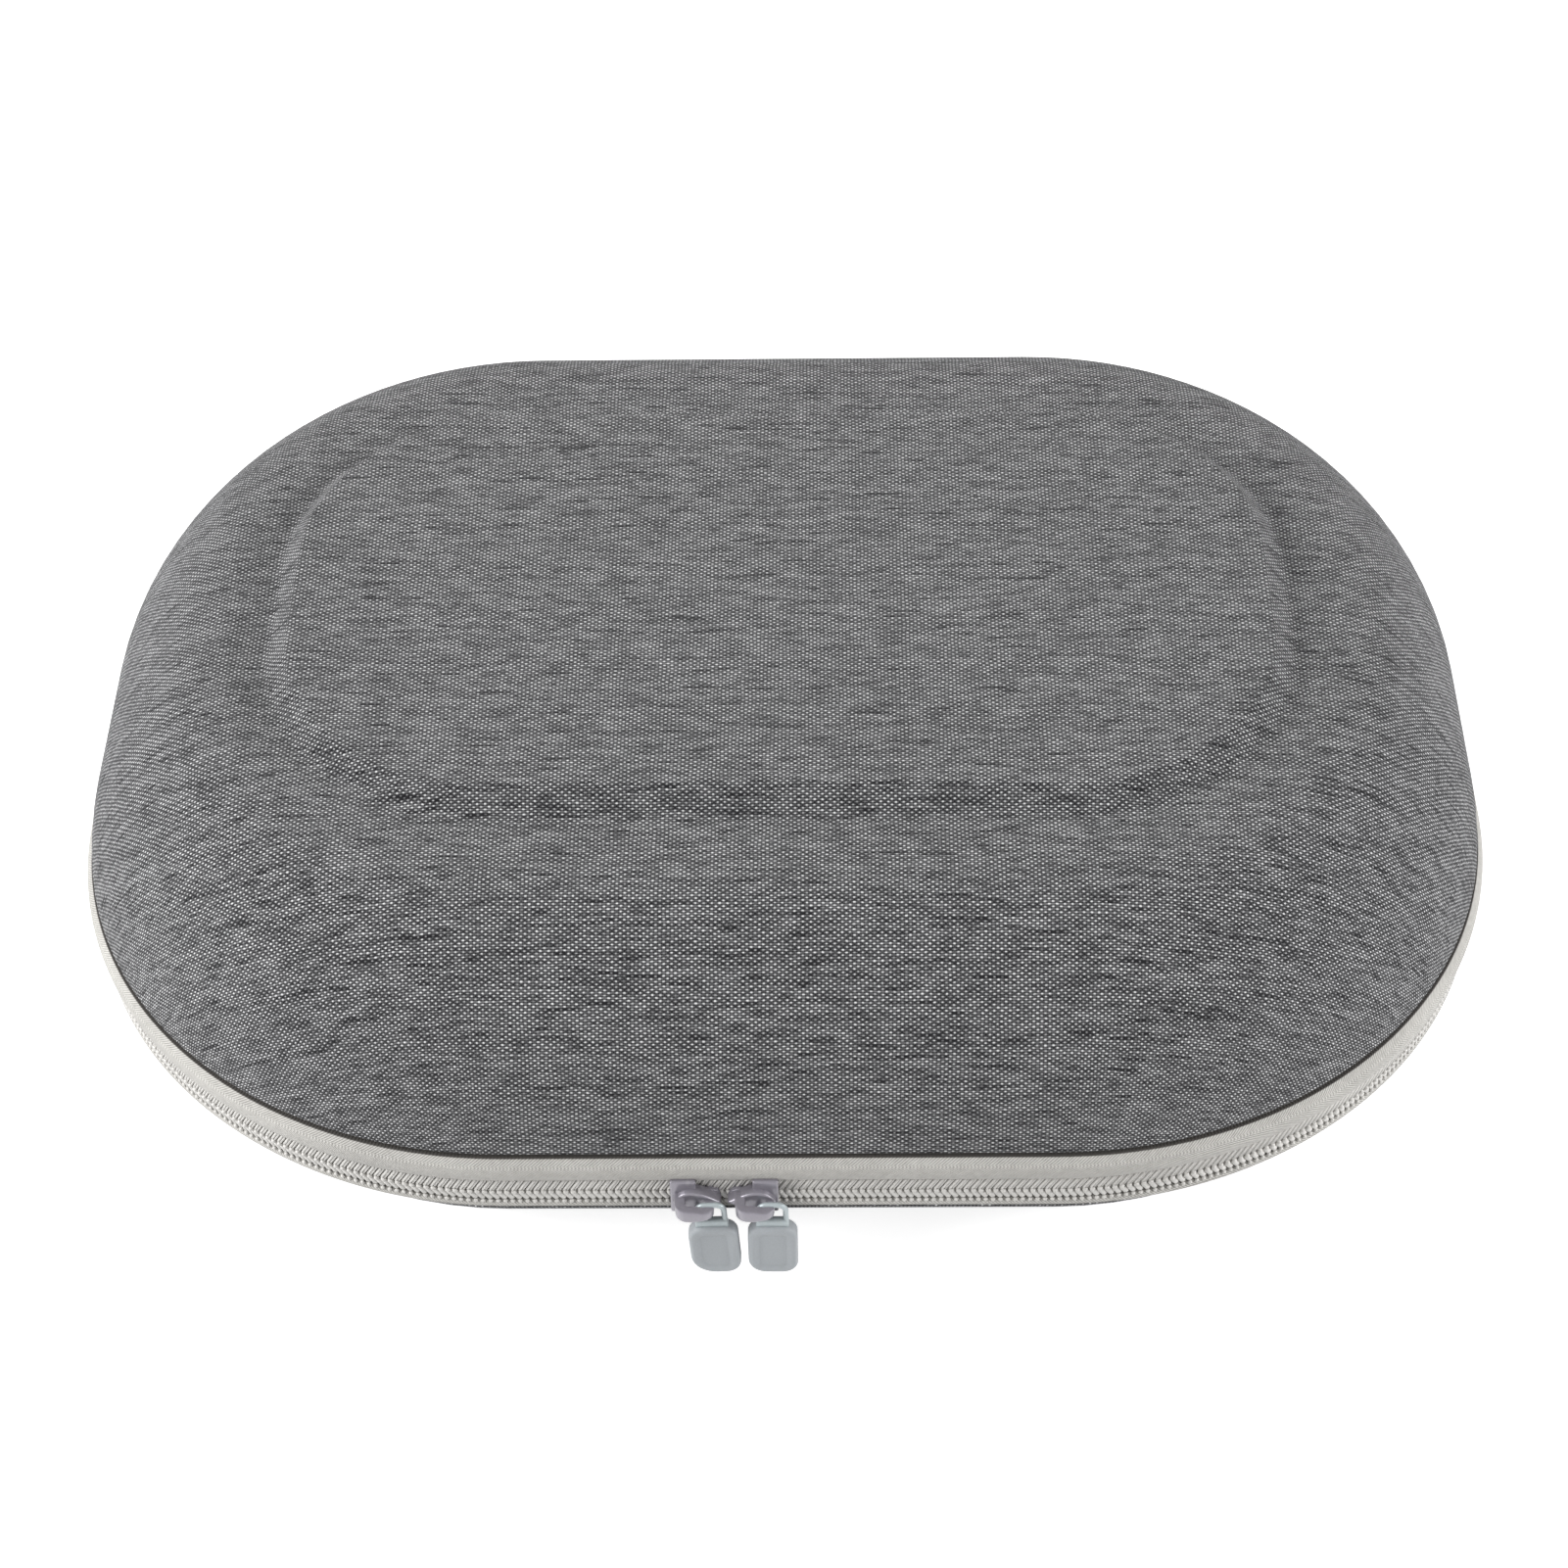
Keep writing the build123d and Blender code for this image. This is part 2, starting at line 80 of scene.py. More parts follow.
# Lid wall, shoulder and raised panel
lid_wall_radius = 52 * mm
lid_shoulder_radius = 20 * mm
lid_wall_lean = 5.5
lid_shoulder_start = 50.0
panel_width = 186 * mm
panel_depth = 107 * mm
panel_corner = 42 * mm
panel_rise = 4.4 * mm
panel_slope = 4.0 * mm
panel_foot_round = 3.0 * mm
panel_edge_round = 1.0 * mm
lid_centre_u = corner_radius - lid_wall_radius * math.cos(math.radians(lid_wall_lean))
lid_centre_z = lid_rim - lid_wall_radius * math.sin(math.radians(lid_wall_lean))
radius_step = lid_wall_radius - lid_shoulder_radius
shoulder_u = lid_centre_u + radius_step * math.cos(math.radians(lid_shoulder_start))
shoulder_z = lid_centre_z + radius_step * math.sin(math.radians(lid_shoulder_start))
crown_height = shoulder_z + lid_shoulder_radius

# Base bowl
base_wall_radius = 44 * mm
base_wall_lean = 31.0
base_flush = 0.5 * mm
base_rim_u = corner_radius + base_flush
base_centre_u = base_rim_u - base_wall_radius * math.cos(math.radians(base_wall_lean))
base_centre_z = base_wall_radius

# How far the rim curls in under the corners, and over which heights and degrees of the turn
base_curl = 2.2 * mm
zip_curl = 0.4 * mm
curl_end = 30 * mm
curl_grows = 40
curl_fades = 60
curl_gone = 170

# Meshing
weld_gap = 0.005 * mm
touch = 0.01 * mm
hair = 0.001 * mm
wall_steps = 18
shoulder_steps = 12

# Layers of the wall
cover_thick = 0.8 * mm
foam_thick = 3.5 * mm
lining_thick = 0.7 * mm

# Zip and hinge
coil_pitch = 1.29 * mm
hinge_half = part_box("hinge_strip_lid")[1].x
zip_end = hinge_half + 0.15 * mm
zip_start = hinge_half + 3.4 * mm
tape_bottom = lid_coil_top + 0.4 * mm
web_outer = -0.15 * mm
web_inner = -1.75 * mm
groove = 0.3 * mm
stitch_pitch = 2.8 * mm
rim_length = 4 * (corner_x + corner_y) + 2 * math.pi * corner_radius


# ---- materials


class Number:
    """A number that varies over a surface, written as plain arithmetic."""

    def __init__(self, wiring, socket):
        self.wiring = wiring
        self.socket = socket

    def math(self, operation, *others):
        return self.wiring.math(operation, self, *others)

    def __add__(self, other):
        return self.math("ADD", other)

    __radd__ = __add__

    def __sub__(self, other):
        return self.math("SUBTRACT", other)

    def __rsub__(self, other):
        return self.wiring.math("SUBTRACT", other, self)

    def __mul__(self, other):
        return self.math("MULTIPLY", other)

    __rmul__ = __mul__

    def __truediv__(self, other):
        return self.math("DIVIDE", other)

    def floor(self):
        return self.math("FLOOR")

    def fraction(self):
        return self.math("FRACT")

    def sine(self):
        return self.math("SINE")

    def absolute(self):
        return self.math("ABSOLUTE")

    def power(self, exponent):
        return self.math("POWER", exponent)

    def between(self, low, high):
        """0 below low, 1 above high and a smooth step in between."""
        node = self.wiring.node("ShaderNodeMapRange", {"interpolation_type": "SMOOTHSTEP"},
                                {"Value": self, "From Min": low, "From Max": high})
        return Number(self.wiring, node.outputs["Result"])


class Wiring:
    """A node tree that is built up node by node."""

    def __init__(self, tree):
        self.tree = tree

    def node(self, kind, settings=None, values=None):
        node = self.tree.nodes.new(kind)
        for name, value in (settings or {}).items():
            setattr(node, name, value)
        for key, value in (values or {}).items():
            self.feed(node.inputs[key], value)
        return node

    def feed(self, socket, value):
        value = getattr(value, "socket", value)
        if isinstance(value, bpy.types.NodeSocket):
            self.tree.links.new(value, socket)
        else:
            socket.default_value = value

    def math(self, operation, *values):
        node = self.node("ShaderNodeMath", {"operation": operation}, dict(enumerate(values)))
        return Number(self, node.outputs[0])

    def end(self, output, lighting, backdrop):
        """Ends the tree in one shader for the light it gives and another for how it looks in view."""
        path = self.node("ShaderNodeLightPath")
        camera, mirror, glass = [Number(self, path.outputs[f"Is {kind} Ray"])
                                 for kind in ("Camera", "Glossy", "Transmission")]
        values = {0: camera + mirror + glass, 1: lighting.outputs[0], 2: backdrop.outputs[0]}
        choice = self.node("ShaderNodeMixShader", values=values)
        self.feed(self.tree.nodes[output].inputs["Surface"], choice.outputs[0])


class Finish(Wiring):
    """A procedural material."""

    def __init__(self, name, roughness=0.6, **sockets):
        self.material = bpy.data.materials.new(name)
        self.material.use_nodes = True
        super().__init__(self.material.node_tree)
        self.shader = self.tree.nodes["Principled BSDF"]
        self.shader.inputs["Roughness"].default_value = roughness
        for socket, value in sockets.items():
            self.shader.inputs[socket.replace("_", " ")].default_value = value

    def place(self):
        """Point of the object, in metres."""
        return self.node("ShaderNodeTexCoord").outputs["Object"]

    def cloth(self):
        """Point of the flat cloth, in metres along its two thread directions."""
        flat = self.node("ShaderNodeUVMap", {"uv_map": "cloth"}).outputs["UV"]
        split = self.node("ShaderNodeSeparateXYZ", values={"Vector": flat})
        return Number(self, split.outputs[0]), Number(self, split.outputs[1])

    def join(self, x, y, z=0.0):
        return self.node("ShaderNodeCombineXYZ", values={"X": x, "Y": y, "Z": z}).outputs["Vector"]

    def noise(self, vector, scale, detail=2.0, roughness=0.5):
        values = {"Vector": vector, "Scale": scale, "Detail": detail, "Roughness": roughness}
        return Number(self, self.node("ShaderNodeTexNoise", values=values).outputs["Fac"])

    def grain(self, u, v, scale):
        return self.noise(self.join(u * scale, v * scale), 1.0)

    def speckle(self, vector):
        node = self.node("ShaderNodeTexWhiteNoise", {"noise_dimensions": "3D"}, {"Vector": vector})
        return Number(self, node.outputs["Value"])

    def blend(self, share, first, second):
        node = self.node("ShaderNodeMix", {"data_type": "RGBA"}, {"Factor": share, 6: first, 7: second})
        return node.outputs[2]

    def tone(self, share, *colours):
        """Colour from a ramp of evenly spaced stops."""
        ramp = self.node("ShaderNodeValToRGB", values={"Fac": share})
        stops = ramp.color_ramp.elements
        while len(stops) < len(colours):
            stops.new(0.5)
        for i, colour in enumerate(colours):
            stops[i].position = i / (len(colours) - 1)
            stops[i].color = (*colour, 1)
        return ramp.outputs["Color"]

    def colour(self, value):
        self.feed(self.shader.inputs["Base Color"], value)

    def relief(self, height, depth, strength=1.0):
        bump = self.node("ShaderNodeBump", values={"Height": height, "Distance": depth, "Strength": strength})
        self.feed(self.shader.inputs["Normal"], bump.outputs["Normal"])


def heather_weave(name="heather_weave"):
    """Outer fabric: plain weave of pale warp dots on a mottled dark weft, with slubs along the weft, and
    painted shade in the holes and crevices between the threads.
    """
    finish = Finish(name, 0.85, Specular_IOR_Level=0.2, Sheen_Weight=0.12)
    warp_pitch = 0.67 * mm
    weft_pitch = 0.475 * mm
    u, v = finish.cloth()
    sway = finish.noise(finish.join(u, v), 260.0, 2.0) - 0.5
    waver = finish.noise(finish.join(u * 0.6, v, 3.0), 420.0, 2.0) - 0.5
    across = (u + sway * 0.6 * mm) / warp_pitch
    along = (v + waver * 0.55 * mm) / weft_pitch
    warp_wave = (across * math.pi).sine()
    weft_wave = (along * math.pi).sine()
    # painted shade in the holes at the corners of the thread cells
    pit = ((1 - warp_wave.absolute()) * (1 - weft_wave.absolute())).between(0.12, 0.50)
    dot = (warp_wave * weft_wave).between(0.20, 0.90)
    hollow = (warp_wave * weft_wave * -1.0).between(0.25, 0.90)
    column = across.floor()
    row = along.floor()
    slub = finish.noise(finish.join(u * 190.0, row * 3.3, 5.0), 1.0, 2.0, 0.55).between(0.30, 0.70)
    ply = finish.noise(finish.join(column * 3.7, v * 260.0), 1.0, 1.0).between(0.25, 0.75)
    knot = finish.speckle(finish.join(column, row))
    patch = finish.noise(finish.join(u * 90.0, v * 420.0), 1.0, 3.0).between(0.28, 0.72)
    streak = finish.noise(finish.join(u * 90.0, row * 5.1, 9.0), 1.0, 2.0).between(0.60, 0.70)
    fibre = finish.grain(u, v, 2600.0).between(0.30, 0.70)
    thread = slub * 0.34 + patch * 0.10 + fibre * 0.20 + 0.13
    pale = dot * (ply * 0.24 + knot * 0.34 + patch * 0.08 + 0.18)
    # the threads' round profile is the bump height, and it also darkens the colour towards the crevices
    # between threads: painted shade
    pillow = weft_wave.absolute().power(0.7) * (warp_wave.absolute() * 0.35 + 0.65)
    # painted shade in the holes, with darker yarn along the slubs and in the weft cells
    pit_shade_and_dark_yarn = pit * 0.36 + streak * 0.32 + hollow * (1.1 - slub * 0.6) * 0.32
    shade = (thread + pale) * (pillow * 0.6 + 0.4) - pit_shade_and_dark_yarn + 0.005
    black = (0.008, 0.008, 0.010)
    grey = (0.165, 0.165, 0.170)
    light = (0.80, 0.80, 0.81)
    finish.colour(finish.tone(shade, black, grey, light))
    finish.relief(pillow, 0.22 * mm, 0.9)
    return finish.material


def plain_finish(name, colour, roughness=0.6, grain=0.04 * mm, scale=2500.0, **sockets):
    """A surface with a fine grain and a little unevenness in its colour."""
    finish = Finish(name, roughness, **sockets)
    point = finish.place()
    fine = finish.noise(point, scale, 3.0)
    broad = finish.noise(point, scale / 40, 2.0)
    finish.colour(finish.tone(fine * 0.5 + broad * 0.5, [c * 0.8 for c in colour], [c * 1.2 for c in colour]))
    finish.relief(fine, grain, 0.6)
    return finish.material


# ---- workbench


def clear_bench():
    """Back to object mode with nothing selected."""
    active = bpy.context.view_layer.objects.active
    if active and active.mode != "OBJECT":
        bpy.ops.object.mode_set(mode="OBJECT")
    bpy.ops.object.select_all(action="DESELECT")


def take(piece):
    """Selects one piece alone."""
    clear_bench()
    piece.select_set(True)
    bpy.context.view_layer.objects.active = piece


def edit(piece):
    """Opens one piece in edit mode."""
    take(piece)
    bpy.ops.object.mode_set(mode="EDIT")


def leave():
    bpy.ops.object.mode_set(mode="OBJECT")


def select_all():
    bpy.ops.mesh.select_all(action="SELECT")


def weld():
    """Selects all and merges doubles."""
    select_all()
    bpy.ops.mesh.remove_doubles(threshold=weld_gap)


def new_shape(name, add, **settings):
    """A basic shape at the origin, in edit mode with all of it selected."""
    clear_bench()
    add(location=(0, 0, 0), **settings)
    piece = bpy.context.object
    piece.name = name
    bpy.ops.object.mode_set(mode="EDIT")
    select_all()
    return piece


def start_line(name, x, y, z):
    """A new mesh of one selected vertex, in edit mode, ready to be drawn out."""
    piece = new_shape(name, bpy.ops.mesh.primitive_plane_add, size=mm)
    bpy.ops.mesh.select_mode(type="VERT")
    bpy.ops.mesh.merge(type="CENTER")
    shift(x, y, z)
    return piece


def shift(x, y, z):
    """Moves what is selected."""
    bpy.ops.transform.translate(value=(x, y, z))


def scale(x, y, z):
    """Scales what is selected round its middle."""
    bpy.ops.transform.resize(value=(x, y, z))


def inset(*widths):
    """Insets the selected faces by each width in turn."""
    for width in widths:
        bpy.ops.mesh.inset(thickness=width)


def draw_out(x, y, z, steps=1):
    """Extrudes what is selected along a straight run."""
    for _ in range(steps):
        move = {"value": (x / steps, y / steps, z / steps)}
        bpy.ops.mesh.extrude_region_move(TRANSFORM_OT_translate=move)


def swing(centre, axis, degrees, steps):
    """Spins what is selected round an axis."""
    bpy.ops.mesh.spin(steps=steps, angle=-math.radians(degrees), center=centre, axis=axis)


def turn_outward():
    """Turns the faces outward and leaves edit mode."""
    select_all()
    bpy.ops.mesh.normals_make_consistent(inside=False)
    leave()


def close_mesh():
    """Merges doubles and turns the faces outward, then leaves edit mode."""
    weld()
    turn_outward()


def walk_round(x, y, height=0.0, turn_steps=corner_steps, steps=1, far_steps=1):
    """Carries what is selected once round a core of half-sizes x and y, counter-clockwise from above.

    It starts over the middle of the front, or of the back where x and y are below zero."""
    for corner, run, count in (((x, -y), (x, 0), steps), ((x, y), (0, 2 * y), steps),
                               ((-x, y), (-2 * x, 0), far_steps), ((-x, -y), (0, -2 * y), steps)):
        draw_out(*run, 0, count)
        swing((*corner, height), (0, 0, 1), 90, turn_steps)
    draw_out(x, 0, 0, steps)


def sweep_round(width, depth, radius):
    """Carries the whole section, drawn over the middle of the front, once round a plan."""
    select_all()
    walk_round(width / 2 - radius, depth / 2 - radius, steps=run_steps, far_steps=2 * run_steps)


def add_modifier(piece, kind, **settings):
    """Adds a modifier and applies it."""
    take(piece)
    modifier = piece.modifiers.new(kind.lower(), kind)
    for name, value in settings.items():
        setattr(modifier, name, value)
    bpy.ops.object.modifier_apply(modifier=modifier.name)
    return piece


def soften_edges(piece, width, angle, segments=2):
    """Rounds the edges that are sharper than an angle."""
    return add_modifier(piece, "BEVEL", width=width, segments=segments, limit_method="ANGLE",
                        angle_limit=math.radians(angle))


def dress(piece, material, slot, *nodes, body=None, smooth=40):
    """Gives a finished piece its smooth shading, its material and the body it rides on, and hides the
    construction parts it stands for; the slot is not used.
    """
    take(piece)
    bpy.ops.object.shade_smooth_by_angle(angle=math.radians(smooth))
    piece.data.materials.clear()
    piece.data.materials.append(material)
    if nodes:
        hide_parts(*nodes)
    if body:
        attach(piece, body)
    clear_bench()


def from_core(place):
    """Nearest point of the straight core that the corners turn round, and the way out from it."""
    core = Vector((max(-corner_x, min(corner_x, place.x)), max(-corner_y, min(corner_y, place.y))))
    return core, place.xy - core


def lay_cloth(piece, flat_distance):
    """Flat cloth coordinates: straight from the core by the distance that the cloth has run."""
    layer = piece.data.uv_layers.new(name="cloth")
    flat = []
    for vertex in piece.data.vertices:
        core, away = from_core(vertex.co)
        if away.length > 0:
            core += away * (flat_distance(away.length, vertex.co.z) / away.length)
        flat.append(core)
    for loop in piece.data.loops:
        layer.data[loop.index].uv = flat[loop.vertex_index]


def smooth_step(value):
    value = max(0.0, min(1.0, value))
    return value * value * (3 - 2 * value)


def curl_under(piece, corner_curl=zip_curl):
    """Draws the base's rim and the lower half of the zip in round the corners, as the band curls there."""
    for vertex in piece.data.vertices:
        away = from_core(vertex.co)[1]
        if away.length < corner_radius / 4:
            continue
        turn = math.degrees(math.atan2(abs(away.x), -away.y))
        curl = corner_curl * smooth_step(turn / curl_grows) * smooth_step((curl_gone - turn) / curl_fades)
        if vertex.co.z > base_rim:
            curl *= smooth_step((curl_end - vertex.co.z) / (curl_end - base_rim))
        else:
            curl *= smooth_step(vertex.co.z / base_rim)
        vertex.co.xy -= away.normalized() * curl


def middle(edge):
    return (edge.verts[0].co + edge.verts[1].co) / 2


def run_along(edge, axis):
    """How far an edge runs along one axis."""
    return abs(edge.verts[0].co[axis] - edge.verts[1].co[axis])


def pick(piece, kind, wanted):
    """In edit mode, selects only the vertices, edges or faces that are wanted."""
    if bpy.context.object.mode != "EDIT":
        edit(piece)
    bpy.ops.mesh.select_mode(type={"verts": "VERT", "edges": "EDGE", "faces": "FACE"}[kind])
    bpy.ops.mesh.select_all(action="DESELECT")
    shape = bmesh.from_edit_mesh(piece.data)
    for element in getattr(shape, kind):
        if wanted(element):
            element.select_set(True)
    bmesh.update_edit_mesh(piece.data)


def join(first, *others):
    """Joins pieces into the first one."""
    clear_bench()
    for other in others:
        other.select_set(True)
    first.select_set(True)
    bpy.context.view_layer.objects.active = first
    bpy.ops.object.join()
    return first


def repeat(piece, count, step, merge=False):
    """Copies a piece in a row along X."""
    return add_modifier(piece, "ARRAY", count=count, use_relative_offset=False, use_constant_offset=True,
                        constant_offset_displace=(step, 0, 0), use_merge_vertices=merge,
                        merge_threshold=2 * hair)


def make_wire(line, radius, resolution):
    """Turns a drawn line into a round wire."""
    weld()
    take(line)
    bpy.ops.object.convert(target="CURVE")
    curve = bpy.context.object.data
    curve.bevel_depth = radius
    curve.bevel_resolution = resolution
    bpy.ops.object.convert(target="MESH")
    return bpy.context.object


# ---- lid and base cloth


def lid_flat_distance(u, z):
    """How far the lid's cloth has run from the core to a point of the wall."""
    slope_extra = math.hypot(panel_rise, panel_slope) - panel_slope
    if z > crown_height - hair:
        return u + slope_extra * min(1.0, max(0.0, (case_top - z) / panel_rise))
    run = shoulder_u + slope_extra
    turn = math.atan2(z - shoulder_z, u - shoulder_u)
    start = math.radians(lid_shoulder_start)
    if turn > start:
        return run + lid_shoulder_radius * (math.pi / 2 - turn)
    run += lid_shoulder_radius * (math.pi / 2 - start)
    turn = math.atan2(z - lid_centre_z, u - lid_centre_u)
    return run + lid_wall_radius * (start - turn)


def raised_panel():
    """Raised field of the crown: a soft foot, a sloping side and a crisper edge round a flat top."""
    lean = math.atan2(panel_rise, panel_slope)
    slope = math.degrees(lean)
    foot_run = panel_foot_round * math.tan(lean / 2)
    edge_run = panel_edge_round * math.tan(lean / 2)
    straight = math.hypot(panel_rise, panel_slope) - foot_run - edge_run
    front = -panel_depth / 2
    piece = start_line("panel", 0, front - foot_run, crown_height)
    swing((0, front - foot_run, crown_height + panel_foot_round), (1, 0, 0), slope, 5)
    draw_out(0, straight * math.cos(lean), straight * math.sin(lean), 2)
    edge_y = front + panel_slope + edge_run
    swing((0, edge_y, crown_height + panel_rise - panel_edge_round), (-1, 0, 0), slope, 4)
    sweep_round(panel_width, panel_depth, panel_corner)
    weld()
    pick(piece, "edges", lambda edge: edge.is_boundary and middle(edge).z > crown_height + panel_rise / 2)
    bpy.ops.mesh.edge_face_add()
    bpy.ops.mesh.select_mode(type="FACE")
    inset(0.8 * mm, 4 * mm)
    close_mesh()
    return piece


def lid_layer(name, outer):
    """The lid's moulded wall and shoulder, swept round the plan up to the crown."""
    front = -corner_y
    wall = lid_wall_radius - outer
    lean = math.degrees(math.asin((lid_rim - lid_centre_z) / wall))
    rim_y = front - lid_centre_u - wall * math.cos(math.radians(lean))
    piece = start_line(name, 0, rim_y, lid_rim)
    swing((0, front - lid_centre_u, lid_centre_z), (-1, 0, 0), lid_shoulder_start - lean, wall_steps)
    swing((0, front - shoulder_u, shoulder_z), (-1, 0, 0), 90 - lid_shoulder_start, shoulder_steps)
    sweep_round(2 * half_width, 2 * half_depth, corner_radius)
    close_mesh()
    return piece


def lid_cloth():
    """Outer fabric of the lid, moulded in one piece over the wall, shoulder and raised panel."""
    piece = join(lid_layer("lid_fabric", 0.0), raised_panel())
    pick(piece, "edges", lambda edge: edge.is_boundary and middle(edge).z > crown_height - 0.1 * mm)
    bpy.ops.mesh.bridge_edge_loops()
    close_mesh()
    lay_cloth(piece, lid_flat_distance)
    add_modifier(piece, "SOLIDIFY", thickness=cover_thick, offset=-1, use_even_offset=True)
    return soften_edges(piece, 0.3 * mm, 50)


def base_flat_distance(u, z):
    """How far the base's cloth has run from the core to a point of the wall."""
    if z < hair:
        return u
    turn = math.atan2(z - base_centre_z, u - base_centre_u)
    return base_centre_u + base_wall_radius * (turn + math.pi / 2)


def base_layer(name, outer, thick):
    """One layer of the base: a bowl wall swept round the plan over a flat floor."""
    front = -corner_y
    wall = base_wall_radius - outer
    lean = math.asin((base_centre_z - base_rim) / wall)
    piece = start_line(name, 0, front - base_centre_u - wall * math.cos(lean), base_rim)
    swing((0, front - base_centre_u, base_centre_z), (1, 0, 0), 90 - math.degrees(lean), wall_steps)
    sweep_round(2 * half_width, 2 * half_depth, corner_radius)
    weld()
    pick(piece, "edges", lambda edge: edge.is_boundary and middle(edge).z < base_rim / 2)
    bpy.ops.mesh.edge_face_add()
    bpy.ops.mesh.select_mode(type="FACE")
    inset(2 * mm)
    close_mesh()
    lay_cloth(piece, base_flat_distance)
    curl_under(piece, base_curl)
    add_modifier(piece, "SOLIDIFY", thickness=thick, offset=-1, use_even_offset=True)
    return soften_edges(piece, 0.25 * mm, 50)


# ---- bands round the rim


def rim_line():
    """Line of the rim's outline, from the middle of the back round the left, front and right."""
    line = start_line("rim_line", 0, half_depth, 0)
    walk_round(-corner_x, -corner_y, turn_steps=line_steps)
    take(line)
    bpy.ops.object.convert(target="CURVE")
    line = bpy.context.object
    line.data.twist_mode = "Z_UP"
    return line


def straight_band(name, section, low, high, count, ring=False):
    """A straight band along X: a closed section of (outward, height) points, run from low to high."""
    step = (high - low) / count
    out, height = section[0]
    piece = start_line(name, low, -out, height)
    for next_out, next_height in section[1:] + section[:1]:
        draw_out(0, out - next_out, next_height - height)
        out, height = next_out, next_height
    weld()
    draw_out(step, 0, 0)
    leave()
    repeat(piece, count, step, merge=True)
    if not ring:
        for end in (low, high):
            pick(piece, "edges", lambda edge: edge.is_boundary and abs(middle(edge).x - end) < touch)
            bpy.ops.mesh.edge_face_add()
    edit(piece)
    close_mesh()
    lay_flat(piece, 2)
    return piece


def lay_flat(piece, second_axis):
    """Cloth coordinates of a flat or straight piece: along X, and along Y (1) or Z (2)."""
    layer = piece.data.uv_layers.new(name="cloth")
    for loop in piece.data.loops:
        place = piece.data.vertices[loop.vertex_index].co
        layer.data[loop.index].uv = (place.x, place[second_axis])


def bend_round(piece, line, ring=False):
    """Bends a straight band round the rim."""
    add_modifier(piece, "CURVE", object=line, deform_axis="POS_X")
    if ring:
        edit(piece)
        close_mesh()
    return piece


def rounded_section(corners, radius, steps=3):
    """A section of (outward, height) corners with each corner rounded."""
    points = []
    count = len(corners)
    for i in range(count):
        here = Vector(corners[i])
        before = Vector(corners[i - 1]) - here
        after = Vector(corners[(i + 1) % count]) - here
        reach = min(radius, before.length / 2.2, after.length / 2.2)
        start = here + before.normalized() * reach
        end = here + after.normalized() * reach
        for k in range(steps + 1):
            share = k / steps
            bend = start * (1 - share) ** 2 + here * 2 * share * (1 - share) + end * share ** 2
            points.append((bend.x, bend.y))
    return points


def bulge(start, end, rise, steps):
    """Points of a shallow bulge between two (outward, height) points."""
    first = Vector(start)
    along = Vector(end) - first
    out = Vector((along.y, -along.x)).normalized()
    if out.x < 0:
        out = -out
    points = []
    for k in range(steps + 1):
        share = k / steps
        point = first + along * share + out * rise * 4 * share * (1 - share)
        points.append((point.x, point.y))
    return points


def lid_tape_section():
    """Lid's tape: tucked in under the fabric, a full round bead in view, and the web behind the coil."""
    top = lid_rim - 0.35 * mm
    bead = bulge((0.15 * mm, top - groove), (0.92 * mm, tape_bottom + 0.2 * mm), 0.88 * mm, 12)
    tuck = [(web_inner, top), (-0.5 * mm, top), (-0.45 * mm, top - groove)]
    web_foot = split_height + 0.15 * mm
    web = [(0.6 * mm, tape_bottom), (web_outer, tape_bottom), (web_outer, web_foot), (web_inner, web_foot)]
    return tuck + bead + web


def base_tape_section():
    """Base's tape: a low plain bead under the chain, and the web behind the coil."""
    low = base_rim + 0.22 * mm
    high = base_coil_low - 0.15 * mm
    bead = bulge((0.45 * mm, low + 0.1 * mm), (0.4 * mm, high), 0.2 * mm, 4)
    foot = [(web_inner, base_rim + 0.02 * mm), (-1.1 * mm, base_rim + 0.02 * mm), (-1.0 * mm, low)]
    web_top = split_height - 0.15 * mm
    web = [(-0.1 * mm, high + 0.3 * mm), (-0.1 * mm, web_top), (web_inner, web_top)]
    return foot + bead + web


def thread_leg(name, x, out, z, width, deep, tall, lean):
    """One rounded leg of the coil: a capsule that leans along the zip."""
    leg = new_shape(name, bpy.ops.mesh.primitive_uv_sphere_add, segments=8, ring_count=5, radius=0.5)
    scale(width, deep, min(width, tall))
    for end in (-1, 1):
        pick(leg, "verts", lambda vertex: vertex.co.z * end > 0)
        shift(0, 0, end * max(0.0, tall - width) / 2)
    select_all()
    bpy.ops.transform.rotate(value=-math.radians(lean), orient_axis="Y", center_override=(0, 0, 0))
    shift(x, -out, z)
    leave()
    return leg


def chain_half(name, legs):
    """Half of the chain: its first link, repeated over the whole length of the zip.

    A leg is its place along the zip, distance out, height over the split, width, depth and length
    in millimetres, and its lean in degrees."""
    link = []
    for *sizes, lean in legs:
        ahead, out, rise, width, deep, tall = [size * mm for size in sizes]
        link.append(thread_leg(name, zip_start + ahead, out, split_height + rise, width, deep, tall, lean))
    return repeat(join(*link), int((rim_length - 2 * zip_start) / coil_pitch), coil_pitch)


# ---- inside


def pocket_net(material):
    """Mesh pocket in the lid, stretched between its binding and the elastic."""
    low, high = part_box("mesh_pocket")
    net = new_shape("pocket_net", bpy.ops.mesh.primitive_grid_add, size=1, x_subdivisions=60,
                    y_subdivisions=30)
    width, height = high.x - low.x, high.y - low.y
    scale(width, height, 1)
    shift(0, (low.y + high.y) / 2, low.z)
    leave()
    for vertex in net.data.vertices:
        core, away = from_core(vertex.co)
        if vertex.co.y > corner_y and away.length > 0:
            square = max(abs(away.x), abs(away.y))
            vertex.co.xy = core + away * square / away.length
        sag = math.cos(math.pi * vertex.co.x / (2.1 * high.x)) * 0.5 * mm
        vertex.co.z += max(0.0, sag)
    lay_flat(net, 1)
    dress(net, material, "mesh", "mesh_pocket", body="lid")


